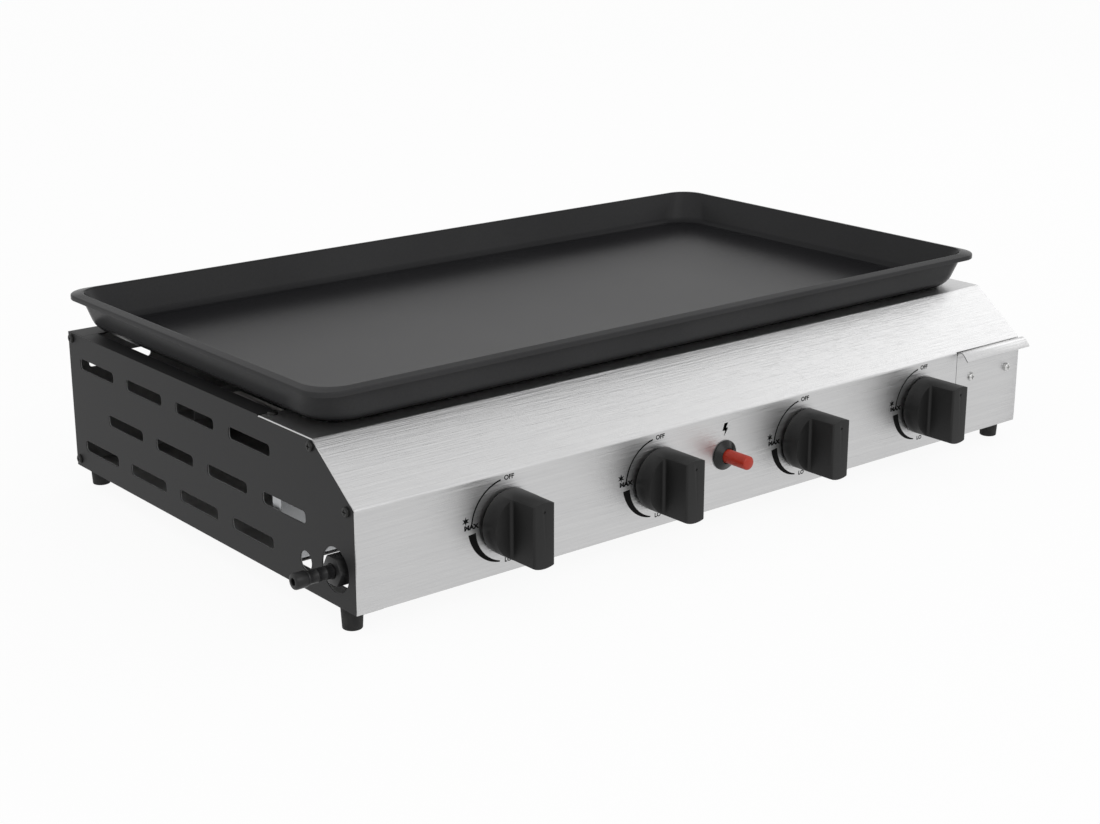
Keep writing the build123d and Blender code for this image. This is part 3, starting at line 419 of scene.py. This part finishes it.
bright_screw, shader, place = finish_of("bright_screw", {"Metallic": 1.0})
plating = place.noise(600.0, 2.0)
plating.between(plating_dull, plating_bright).feed(shader, "Base Color")
(0.24 + 0.16 * plating).feed(shader, "Roughness")
coat(bright_screw, "foot_screws", "shield_screws", "clamp_screws", "valve_screws", "tray_screws")


# Gas rail and valves: a drawn steel tube along the front, with a brass valve and jet at each burner.
# The brass is machined and has begun to tarnish, the tube keeps its grey drawn skin.

tube_dark = (0.33, 0.33, 0.34)
tube_pale = (0.47, 0.47, 0.47)
brass_bright = (0.74, 0.52, 0.21)
brass_tarnished = (0.46, 0.30, 0.12)

gas_rail_steel, shader, place = finish_of("gas_rail_steel", {"Metallic": 1.0})
drawn = place.noise(1.0, 3.0, (10.0, 700.0, 700.0))
drawn.between(tube_dark, tube_pale).feed(shader, "Base Color")
(0.34 + 0.16 * drawn).feed(shader, "Roughness")
coat(gas_rail_steel, "gas_rail")

valve_brass, shader, place = finish_of("valve_brass", {"Metallic": 1.0})
tarnish = place.noise(140.0, 4.0)
tarnish.spread(0.3, 0.75).between(brass_bright, brass_tarnished).feed(shader, "Base Color")
(0.26 + 0.24 * tarnish).feed(shader, "Roughness")
coat(valve_brass, "valve_1", "valve_2", "valve_3", "valve_4", "jets", "gland_rings",
     "push_collar_1", "push_collar_2", "push_collar_3", "push_collar_4")


# Burners, spindles and spark electrode: steel tubes with two rows of flame ports, dulled by the heat.
# The electrode is a bare wire in a glazed sleeve, fed from the igniter by an insulated lead.

burner_bright = (0.40, 0.395, 0.39)
burner_scorched = (0.31, 0.29, 0.27)
ceramic_shade = (0.70, 0.69, 0.66)
ceramic_white = (0.78, 0.77, 0.74)
sleeve_dark = (0.26, 0.05, 0.03)
sleeve_red = (0.36, 0.08, 0.05)

burner_steel, shader, place = finish_of("burner_steel", {"Metallic": 1.0})
heat = place.noise(34.0, 3.0)
heat.spread(0.3, 0.7).between(burner_bright, burner_scorched).feed(shader, "Base Color")
(0.34 + 0.22 * heat).feed(shader, "Roughness")
coat(burner_steel, "burner_1", "burner_2", "burner_3", "burner_4", "spindle_1", "spindle_2",
     "spindle_3", "spindle_4", "electrode_rod")

electrode_ceramic, shader, place = finish_of("electrode_ceramic", {"Coat Weight": 0.5})
glaze = place.noise(300.0, 2.0)
glaze.between(ceramic_shade, ceramic_white).feed(shader, "Base Color")
(0.2 + 0.15 * glaze).feed(shader, "Roughness")
coat(electrode_ceramic, "electrode_insulator")

lead_sleeve, shader, place = finish_of("lead_sleeve", {})
weave = place.noise(1500.0, 2.0)
weave.between(sleeve_dark, sleeve_red).feed(shader, "Base Color")
(0.5 + 0.2 * weave).feed(shader, "Roughness")
coat(lead_sleeve, "ignition_lead")


# Hose barb: the gas inlet, turned from hexagon bar and blackened, its hexagon set in the left panel's hole.
# A ringed neck and a swollen end with a bore take the hose.

hex_length = 0.014
hex_across = 0.022
hex_proud = 0.0035
hex_edge = 0.0009
spigot_radius = 0.0064
neck_radius = 0.0053
neck_ring_radius = 0.0055
neck_rings = 3
neck_ring_rise = (0.74, 0.80)
neck_ring_fall = (0.90, 0.96)
bulb_radius = 0.0064
bulb_length = 0.0112
bulb_edge = 0.0016
bulb_shoulder = 0.0003
bore_radius = 0.0028
bore_edge = 0.0004
bore_edge_depth = 0.0005
bore_depth = 0.020
fitting_dark = (0.007, 0.007, 0.0075)
fitting_pale = (0.015, 0.015, 0.0155)

barb_lo, barb_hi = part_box("hose_barb")
barb_axis = (barb_lo + barb_hi) / 2
panel_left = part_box("left_side_panel")[0].x


def turn(outline, start, direction, sides=64):
    """Turn a piece on a lathe: a disc drawn out from step to step of an outline of (distance, radius)."""
    direction = Vector(direction)
    lean = Vector((0, 0, 1)).rotation_difference(direction).to_euler()
    first_along, first_radius = outline[0]
    bpy.ops.mesh.primitive_circle_add(vertices=sides, radius=first_radius, fill_type="NGON",
                                      location=start + direction * first_along, rotation=lean)
    bpy.ops.object.transform_apply()
    bpy.ops.object.mode_set(mode="EDIT")
    bpy.ops.mesh.select_mode(type="FACE")
    bpy.ops.mesh.select_all(action="SELECT")
    for (along, radius), (next_along, next_radius) in zip(outline, outline[1:]):
        bpy.ops.mesh.extrude_region_move(
            TRANSFORM_OT_translate={"value": direction * (next_along - along)})
        bpy.ops.transform.resize(value=(next_radius / radius,) * 3,
                                 center_override=start + direction * next_along)
    bpy.ops.mesh.select_mode(type="EDGE")
    bpy.ops.mesh.select_all(action="DESELECT")
    bpy.ops.mesh.select_non_manifold()
    bpy.ops.mesh.edge_face_add()
    bpy.ops.mesh.select_all(action="SELECT")
    bpy.ops.mesh.normals_make_consistent(inside=False)
    bpy.ops.object.mode_set(mode="OBJECT")
    return bpy.context.object


hex_face = panel_left - hex_proud
barb_reach = hex_face - barb_lo.x
ring_pitch = (barb_reach - bulb_length) / neck_rings
outline = [(hex_face - barb_hi.x, spigot_radius), (0.0, spigot_radius), (0.0, neck_radius)]
for ring in range(neck_rings):
    foot = ring * ring_pitch
    outline += [
        (foot + neck_ring_rise[0] * ring_pitch, neck_radius),
        (foot + neck_ring_rise[1] * ring_pitch, neck_ring_radius),
        (foot + neck_ring_fall[0] * ring_pitch, neck_ring_radius),
        (foot + neck_ring_fall[1] * ring_pitch, neck_radius),
    ]
outline += [
    (barb_reach - bulb_length, neck_radius),
    (barb_reach - 0.97 * bulb_length, bulb_radius - bulb_shoulder),
    (barb_reach - 0.85 * bulb_length, bulb_radius),
    (barb_reach - bulb_edge, bulb_radius),
    (barb_reach - 0.35 * bulb_edge, bulb_radius - 0.3 * bulb_edge),
    (barb_reach, bulb_radius - bulb_edge),
    (barb_reach, bore_radius + bore_edge),
    (barb_reach - bore_edge_depth, bore_radius),
    (barb_reach - bore_depth, bore_radius),
]
barb_start = Vector((hex_face, barb_axis.y, barb_axis.z))
barb = turn(outline, barb_start, (-1, 0, 0))

bpy.ops.mesh.primitive_cylinder_add(
    vertices=6, radius=hex_across / 2 / math.cos(math.radians(30)), depth=hex_length,
    location=barb_start + Vector((hex_length / 2, 0, 0)), rotation=(0, math.radians(90), 0))
hexagon = bpy.context.object
bpy.ops.object.transform_apply()
modify("BEVEL", width=hex_edge, segments=2, limit_method="ANGLE", angle_limit=math.radians(50))

black_fitting, shader, place = finish_of("black_fitting", {"Specular IOR Level": 0.3})
tool_mark = place.noise(1.0, 2.0, (2600.0, 240.0, 240.0))
tool_mark.between(fitting_dark, fitting_pale).feed(shader, "Base Color")
(0.30 + 0.2 * tool_mark).feed(shader, "Roughness")
tool_mark.dent(0.08, 0.0002).feed(shader, "Normal")
fit(join([barb, hexagon]), "hose_barb_turned", "cabinet", black_fitting, ["hose_barb"])


# Igniter: a black moulded bezel on the steel, its barrel held by a nut behind, and a red push button.
# The button is glossy plastic with a rounded end, and slides in the bezel's bore.

bezel_radius = 0.0129
bezel_front_radius = 0.0082
bezel_depth = 0.0050
bezel_edge = 0.0004
barrel_radius = 0.0100
button_bore = 0.0064
barrel_bore = 0.0079
chamber_back = 0.0009
button_radius = 0.0060
button_edge = 0.0016
button_dome = 0.0005
button_round = ((1.0, 1.0), (0.55, 0.965), (0.20, 0.880), (0.0, 0.740))
shoulder_radius = 0.0074
shoulder_width = 0.0030
barrel_wall = 0.0002
bezel_dark = (0.010, 0.010, 0.010)
bezel_pale = (0.016, 0.016, 0.016)
button_dark = (0.33, 0.024, 0.012)
button_pale = (0.41, 0.034, 0.017)

igniter_front = Vector((igniter_axis.x, panel_lo.y, igniter_axis.z))
bezel = turn(
    [
        (panel_lo.y - igniter_hi.y, barrel_radius),
        (0.0, barrel_radius),
        (0.0, bezel_radius),
        (0.25 * bezel_depth, bezel_radius),
        (0.75 * bezel_depth, bezel_front_radius),
        (bezel_depth, button_bore + bezel_edge),
        (bezel_depth - bezel_edge, button_bore),
        (-chamber_back, button_bore),
        (-chamber_back, barrel_bore),
        (panel_lo.y - igniter_hi.y + barrel_wall, barrel_bore),
    ],
    igniter_front, (0, -1, 0))
hold(bezel)
modify("BEVEL", width=bezel_edge, segments=2, limit_method="ANGLE", angle_limit=math.radians(25))

black_bezel, shader, place = finish_of("black_bezel", {"Specular IOR Level": 0.24})
mould = place.noise(1700.0, 2.0)
mould.between(bezel_dark, bezel_pale).feed(shader, "Base Color")
(0.20 + 0.12 * mould).feed(shader, "Roughness")
mould.dent(0.06, 0.0001).feed(shader, "Normal")
coat(black_bezel, "igniter_core")
fit(bezel, "igniter_bezel", "cabinet", black_bezel, ["igniter_housing"])

button_lo, button_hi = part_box("igniter_button")
button_reach = panel_lo.y - button_lo.y
button_back = panel_lo.y - button_hi.y
button = turn(
    [
        (button_back, shoulder_radius),
        (button_back + shoulder_width, shoulder_radius),
        (button_back + shoulder_width, button_radius),
        *((button_reach - button_dome - depth * button_edge, width * button_radius)
          for depth, width in button_round),
        (button_reach - 0.2 * button_dome, 0.35 * button_radius),
        (button_reach, 0.08 * button_radius),
    ],
    igniter_front, (0, -1, 0))

red_button, shader, place = finish_of("red_button", {"Specular IOR Level": 0.3})
swirl = place.noise(420.0, 3.0)
swirl.between(button_dark, button_pale).feed(shader, "Base Color")
(0.26 + 0.16 * swirl).feed(shader, "Roughness")
fit(button, "igniter_button_red", "button", red_button, ["igniter_button"], 50.0)


# Knobs: four black mouldings, a round skirt with a tall grip across it, pushed on to the valve spindles.
# The plastic is satin with a fine spark-eroded grain, and a small dot at the grip's top shows the setting.

skirt_reach = 0.0195
skirt_fall = 0.0005
skirt_wall = 0.0024
skirt_hollow = 0.0080
hub_radius = 0.0075
grip_root_half = 0.0108
grip_front_half = 0.0102
grip_root = 0.0026
grip_edge = 0.0018
rim_edge = 0.0007
dot_radius = 0.0011
dot_depth = 0.0006
dot_inset = 0.0075
blank_depth = 0.12
near = 0.0001
plastic_dark = (0.004, 0.004, 0.004)
plastic_pale = (0.008, 0.008, 0.008)


def cut(piece, tool, operation):
    """Cut a piece by a tool, or down to what lies in it, and throw the tool away."""
    hold(piece)
    modify("BOOLEAN", object=tool, operation=operation, solver="EXACT")
    bpy.data.objects.remove(tool)


knob_lo, knob_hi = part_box("knob_1")
first_axis = (knob_lo + knob_hi) / 2
knob_radius = (knob_hi.x - knob_lo.x) / 2
skirt_front = panel_lo.y - skirt_reach
blank_width = 4.0 * knob_radius
blank_height = 2.4 * knob_radius
bpy.ops.mesh.primitive_cube_add(
    size=1, location=(first_axis.x, (skirt_front + knob_hi.y) / 2, first_axis.z))
knob = bpy.context.object
knob.scale = (blank_width, knob_hi.y - skirt_front, blank_height)
bpy.ops.object.transform_apply()
bpy.ops.object.mode_set(mode="EDIT")
for side in (-1, 1):
    pick("FACE", lambda middle, normal: normal.y < -0.99)
    bpy.ops.mesh.bisect(plane_co=(first_axis.x + side * grip_root_half, 0, 0), plane_no=(1, 0, 0))
pick("FACE", lambda middle, normal: normal.y < -0.99 and abs(middle.x - first_axis.x) < near)
bpy.ops.mesh.extrude_region_move(
    TRANSFORM_OT_translate={"value": (0, knob_lo.y - skirt_front, 0)})
bpy.ops.transform.resize(value=(grip_front_half / grip_root_half, 1, 1),
                         center_override=(first_axis.x, knob_lo.y, first_axis.z))
pick("VERT", lambda co, normal:
     abs(co.x - first_axis.x) > blank_width / 2 - near and abs(co.y - skirt_front) < near)
bpy.ops.transform.translate(value=(0, 2 * skirt_fall, 0))
pick("EDGE", lambda middle, along:
     abs(along.z) > 0.9 and abs(middle.y - skirt_front) < near
     and abs(middle.x - first_axis.x) < 1.5 * grip_root_half)
bpy.ops.mesh.bevel(offset=grip_root, segments=8)
pick("EDGE", lambda middle, along: abs(along.z) > 0.9 and abs(middle.y - knob_lo.y) < near)
bpy.ops.mesh.bevel(offset=grip_edge, segments=5)
bpy.ops.object.mode_set(mode="OBJECT")

bpy.ops.mesh.primitive_cylinder_add(vertices=144, radius=knob_radius, depth=blank_depth,
                                    location=first_axis, rotation=(math.radians(90), 0, 0))
round_blank = bpy.context.object
cut(knob, round_blank, "INTERSECT")
bpy.ops.mesh.primitive_cylinder_add(
    vertices=96, radius=knob_radius - skirt_wall, depth=2 * skirt_hollow,
    location=(first_axis.x, knob_hi.y, first_axis.z), rotation=(math.radians(90), 0, 0))
hollow = bpy.context.object
bpy.ops.object.mode_set(mode="EDIT")
pick("FACE", lambda middle, normal: abs(normal.z) > 0.99)
bpy.ops.mesh.inset(thickness=knob_radius - skirt_wall - hub_radius)
bpy.ops.mesh.bridge_edge_loops()
bpy.ops.object.mode_set(mode="OBJECT")
cut(knob, hollow, "DIFFERENCE")
bpy.ops.mesh.primitive_cylinder_add(
    vertices=24, radius=dot_radius, depth=2 * dot_depth, rotation=(math.radians(90), 0, 0),
    location=(first_axis.x, knob_lo.y, first_axis.z + knob_radius - dot_inset))
cut(knob, bpy.context.object, "DIFFERENCE")
modify("BEVEL", width=rim_edge, segments=3, limit_method="ANGLE", angle_limit=math.radians(50))
modify("WEIGHTED_NORMAL", keep_sharp=True)

knob_plastic, shader, place = finish_of("knob_plastic", {"Specular IOR Level": 0.31})
spark = place.noise(1900.0, 2.0)
handled = place.noise(60.0, 3.0)
(0.6 * spark + 0.4 * handled).between(plastic_dark, plastic_pale).feed(shader, "Base Color")
(0.36 + 0.16 * spark + 0.06 * handled).feed(shader, "Roughness")
spark.dent(0.10, 0.0002).feed(shader, "Normal")
for number in range(1, 5):
    lo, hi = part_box(f"knob_{number}")
    moulding = twin(knob, Matrix.Translation(((lo + hi) / 2) - first_axis))
    fit(moulding, f"knob_{number}_moulding", f"control_{number}", knob_plastic,
        [f"knob_{number}"])
bpy.data.objects.remove(knob)


# Grease tray front: a strip of the same brushed steel, screwed to the tray's box by two pan heads.
# Its top is rolled over into a lip that flares out to be pulled by, and its foot is hemmed inwards.

tray_sheet = 0.0012
lip_rise = 0.0005
lip_radius = 0.0040
lip_reach = 0.0073
lip_lean = 40.0
lip_corner_width = 0.0035
lip_corner_height = 0.0055
lip_steps = 14
hem_height = 0.0070
hem_depth = 0.0004
tray_edge = 0.00025

front_lo, front_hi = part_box("tray_front")
lip_z = front_hi.z + lip_rise - tray_sheet - lip_radius
bpy.ops.mesh.primitive_plane_add(
    size=1, location=((front_lo.x + front_hi.x) / 2, panel_lo.y, (front_lo.z + lip_z) / 2),
    rotation=(math.radians(90), 0, 0))
tray_front = bpy.context.object
tray_front.scale = (front_hi.x - front_lo.x, lip_z - front_lo.z, 1)
bpy.ops.object.transform_apply()
bpy.ops.object.mode_set(mode="EDIT")
pick("FACE", lambda middle, normal: True)
bpy.ops.mesh.bisect(plane_co=(0, 0, front_lo.z + hem_height), plane_no=(0, 0, 1))
pick("VERT", lambda co, normal: co.z < front_lo.z + near)
bpy.ops.transform.translate(value=(0, hem_depth, 0))
pick("EDGE", lambda middle, along: middle.z > lip_z - near)
bpy.ops.mesh.spin(steps=lip_steps, angle=math.radians(180 - lip_lean), axis=(-1, 0, 0),
                  center=(0, panel_lo.y - lip_radius, lip_z))
lip_slope = Vector((0, -math.sin(math.radians(lip_lean)), -math.cos(math.radians(lip_lean))))
bpy.ops.mesh.extrude_region_move(TRANSFORM_OT_translate={"value": lip_reach * lip_slope})
lip_end = lip_z + lip_radius * math.sin(math.radians(lip_lean)) + lip_reach * lip_slope.z
for edge, inward in ((front_lo.x, 1), (front_hi.x, -1)):
    pick("FACE", lambda middle, normal: middle.y < panel_lo.y - lip_radius)
    bpy.ops.mesh.bisect(plane_co=(edge + inward * lip_corner_width, 0, lip_end),
                        plane_no=(-inward * lip_corner_height, 0, -lip_corner_width), clear_outer=True)
bpy.ops.mesh.select_all(action="SELECT")
bpy.ops.mesh.remove_doubles(threshold=near / 10)
bpy.ops.mesh.normals_make_consistent(inside=False)
bpy.ops.object.mode_set(mode="OBJECT")
if max(tray_front.data.polygons, key=lambda face: face.area).normal.y > 0:
    tray_front.data.flip_normals()
modify("SOLIDIFY", thickness=tray_sheet, offset=-1.0, use_even_offset=True)
modify("BEVEL", width=tray_edge, segments=2, limit_method="ANGLE", angle_limit=math.radians(60))
fit(tray_front, "tray_front_strip", "tray", brushed_steel, ["tray_front"])


# Griddle plate: a deep pan pressed from thick sheet, with flaring walls, a flat rim and a turned-down lip.
# It is coated all over with a satin black non-stick. Its walls get a paler colour than the floor and rim:
# painted light, standing in for the light the walls catch.
# A drain hole near the front right leads to the tray.

plate_sheet = 0.0024
rim_width = 0.0060
wall_flare = 0.0070
rim_fall = 0.0018
lip_drop = 0.0062
rim_corner = 0.0240
wall_corner = 0.0270
floor_corner = 0.0360
inner_fillet = 0.0042
outer_fillet = 0.0116
wall_edge = 0.0014
lip_edge = 0.0011
lip_hem = 0.0006
corner_steps = 12
drain_radius = 0.0090
drain_cut = 0.04
on_ring_reach = 0.0003
nonstick_dark = (0.009, 0.009, 0.010)
nonstick_pale = (0.014, 0.014, 0.015)
wall_painted_light_dark = (0.031, 0.031, 0.032)
wall_painted_light_pale = (0.044, 0.044, 0.045)
painted_light_fade = 0.0060

plate_lo, plate_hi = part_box("griddle_plate")
plate_middle = (plate_lo + plate_hi) / 2
plate_size = plate_hi - plate_lo
floor_z = plate_lo.z + plate_sheet
under_rim = plate_hi.z - rim_fall - plate_sheet
rings = [
    # inset from the plate's outline, height, corner radius and edge round, from the floor out and under
    (rim_width + wall_flare + plate_sheet, floor_z, floor_corner - plate_sheet, inner_fillet),
    (rim_width + plate_sheet, plate_hi.z, wall_corner - plate_sheet, wall_edge),
    (0.0, plate_hi.z - rim_fall, rim_corner, lip_edge),
    (0.0, plate_hi.z - lip_drop, rim_corner, lip_hem),
    (plate_sheet, plate_hi.z - lip_drop + lip_hem, rim_corner - plate_sheet, 0.0),
    (plate_sheet, under_rim, rim_corner - plate_sheet, 0.0),
    (rim_width, under_rim + rim_fall / 2, wall_corner, 0.0),
    (rim_width + wall_flare, plate_lo.z, floor_corner, outer_fillet),
]


def on_ring(ring):
    """A test for the edges that lie along one ring of the plate, its rounded corners included."""
    inset, height, corner = ring[:3]

    def test(middle, along):
        past_x = abs(middle.x - plate_middle.x) - plate_size.x / 2 + inset + corner
        past_y = abs(middle.y - plate_middle.y) - plate_size.y / 2 + inset + corner
        reach = math.hypot(max(past_x, 0), max(past_y, 0)) + min(max(past_x, past_y), 0)
        return abs(middle.z - height) < near / 10 and abs(reach - corner) < on_ring_reach
    return test


plate_rings = []
for inset, height, corner, edge_round in rings:
    bpy.ops.mesh.primitive_plane_add(size=1, location=(plate_middle.x, plate_middle.y, height))
    ring = bpy.context.object
    ring.scale = (plate_size.x - 2 * inset, plate_size.y - 2 * inset, 1)
    bpy.ops.object.transform_apply()
    bpy.ops.object.mode_set(mode="EDIT")
    bpy.ops.mesh.select_all(action="SELECT")
    bpy.ops.mesh.bevel(offset=corner, segments=corner_steps, affect="VERTICES")
    if height not in (floor_z, plate_lo.z):
        bpy.ops.mesh.select_all(action="SELECT")
        bpy.ops.mesh.delete(type="ONLY_FACE")
    bpy.ops.object.mode_set(mode="OBJECT")
    plate_rings.append(ring)
plate = join(plate_rings)
bpy.ops.object.mode_set(mode="EDIT")
for ring, following in zip(rings, rings[1:]):
    in_ring, in_following = on_ring(ring), on_ring(following)
    pick("EDGE", lambda middle, along: in_ring(middle, along) or in_following(middle, along))
    bpy.ops.mesh.bridge_edge_loops()
bpy.ops.mesh.select_all(action="SELECT")
bpy.ops.mesh.normals_make_consistent(inside=False)
for ring in rings:
    if ring[-1]:
        pick("EDGE", on_ring(ring))
        bpy.ops.mesh.bevel(offset=ring[-1], segments=6, loop_slide=False)
bpy.ops.object.mode_set(mode="OBJECT")

drain_lo, drain_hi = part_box("drain_spout")
drain_middle = (drain_lo + drain_hi) / 2
bpy.ops.mesh.primitive_cylinder_add(vertices=64, radius=drain_radius, depth=drain_cut,
                                    location=(drain_middle.x, drain_middle.y, floor_z))
cut(plate, bpy.context.object, "DIFFERENCE")
modify("WEIGHTED_NORMAL", keep_sharp=True)

black_nonstick, shader, place = finish_of("black_nonstick", {"Specular IOR Level": 0.05})
fleck = place.noise(1600.0, 2.0)
sweep = place.noise(7.0, 3.0)
height = place.axes()[2]
# Painted light: the walls, from just above the floor to just under the rim, get the paler colour in place
# of the light they catch.
above_floor = height.spread(floor_z, floor_z + painted_light_fade)
painted_light_mask = above_floor * height.spread(plate_hi.z, plate_hi.z - rim_fall)
tone = (0.6 * fleck + 0.4 * sweep).spread(0.35, 0.65)
nonstick_tone = tone.between(nonstick_dark, nonstick_pale)
wall_painted_light = tone.between(wall_painted_light_dark, wall_painted_light_pale)
painted_light_mask.between(nonstick_tone, wall_painted_light).feed(shader, "Base Color")
(0.18 + 0.08 * fleck + 0.06 * sweep).feed(shader, "Roughness")
fleck.dent(0.08, 0.0002).feed(shader, "Normal")
coat(black_nonstick, "drain_spout", "plate_studs")
fit(plate, "griddle_plate_pan", "plate", black_nonstick, ["griddle_plate"], 40.0)


# Floor, light and camera: a plain white table under a wide soft light, seen from the front left.
# The floor shows white to the camera and in the steel, and keeps the griddle's soft shadow.

floor_half = 30.0
floor_white = 0.85
floor_show = 0.93
room_level = 0.80
lamps = {
    # where each stands, the size of its square panel and its power
    "window_light": (Vector((2.5, -0.1, 1.45)), 1.6, 8.5),
    "front_light": (Vector((-0.2, -2.3, 1.5)), 1.6, 14.0),
}
look_at = Vector((0.0173, 0.0156, 0.018))
look_azimuth = math.radians(-39.268)
look_elevation = math.radians(17.257)
look_distance = 1.830988
look_right = -0.011133
look_up = 0.027328
lens_length = 64.156
lens_frame = 36.0

white = (1.0, 1.0, 1.0, 1.0)


def white_rays(value):
    """1 for the rays that show the floor and room white: the camera's, and those in gloss or glass."""
    seen = value.node("LightPath", out="Is Camera Ray")
    rays = seen.socket.node.outputs
    for kind in ("Is Glossy Ray", "Is Transmission Ray"):
        seen = seen.math("MAXIMUM", seen, Value(value.tree, rays[kind]))
    return seen


bpy.ops.mesh.primitive_plane_add(size=2 * floor_half)
floor = bpy.context.object
floor.name = "floor"
floor_paint = bpy.data.materials.new("floor_paint")
floor_paint.use_nodes = True
sheet = Value(floor_paint.node_tree)
sheet.tree.nodes.clear()
seen = white_rays(sheet)
lit = sheet.node("BsdfDiffuse", {}, {"Color": (floor_white, floor_white, floor_white, 1.0)})
shown = sheet.node("Emission", {}, {"Color": white, "Strength": 1.0})
mixed = sheet.node("MixShader", {}, {0: floor_show * seen, 1: lit, 2: shown})
sheet.node("OutputMaterial", {}, {"Surface": mixed}, out=None)
floor.data.materials.append(floor_paint)

world = bpy.data.worlds.new("room")
bpy.context.scene.world = world
world.use_nodes = True
sky = Value(world.node_tree)
sky.tree.nodes.clear()
seen = white_rays(sky)
glow = sky.node("Background", {}, {"Color": white, "Strength": room_level + (1.0 - room_level) * seen})
sky.node("OutputWorld", {}, {"Surface": glow}, out=None)

for name, (stand, size, power) in lamps.items():
    panel = bpy.data.lights.new(name, "AREA")
    panel.size = size
    panel.energy = power
    lamp = bpy.data.objects.new(name, panel)
    lamp.location = stand
    lamp.rotation_euler = (look_at - stand).to_track_quat("-Z", "Y").to_euler()
    bpy.context.collection.objects.link(lamp)

back = Vector((
    math.sin(look_azimuth) * math.cos(look_elevation),
    -math.cos(look_azimuth) * math.cos(look_elevation),
    math.sin(look_elevation),
))
right = Vector((0, 0, 1)).cross(back).normalized()
up = back.cross(right)
lens = bpy.data.cameras.new("camera")
lens.lens = lens_length
lens.sensor_width = lens_frame
camera = bpy.data.objects.new("camera", lens)
camera.location = look_at + back * look_distance + right * look_right + up * look_up
camera.rotation_euler = (-back).to_track_quat("-Z", "Y").to_euler()
bpy.context.collection.objects.link(camera)
bpy.context.scene.camera = camera
bpy.context.scene.view_settings.view_transform = "Standard"
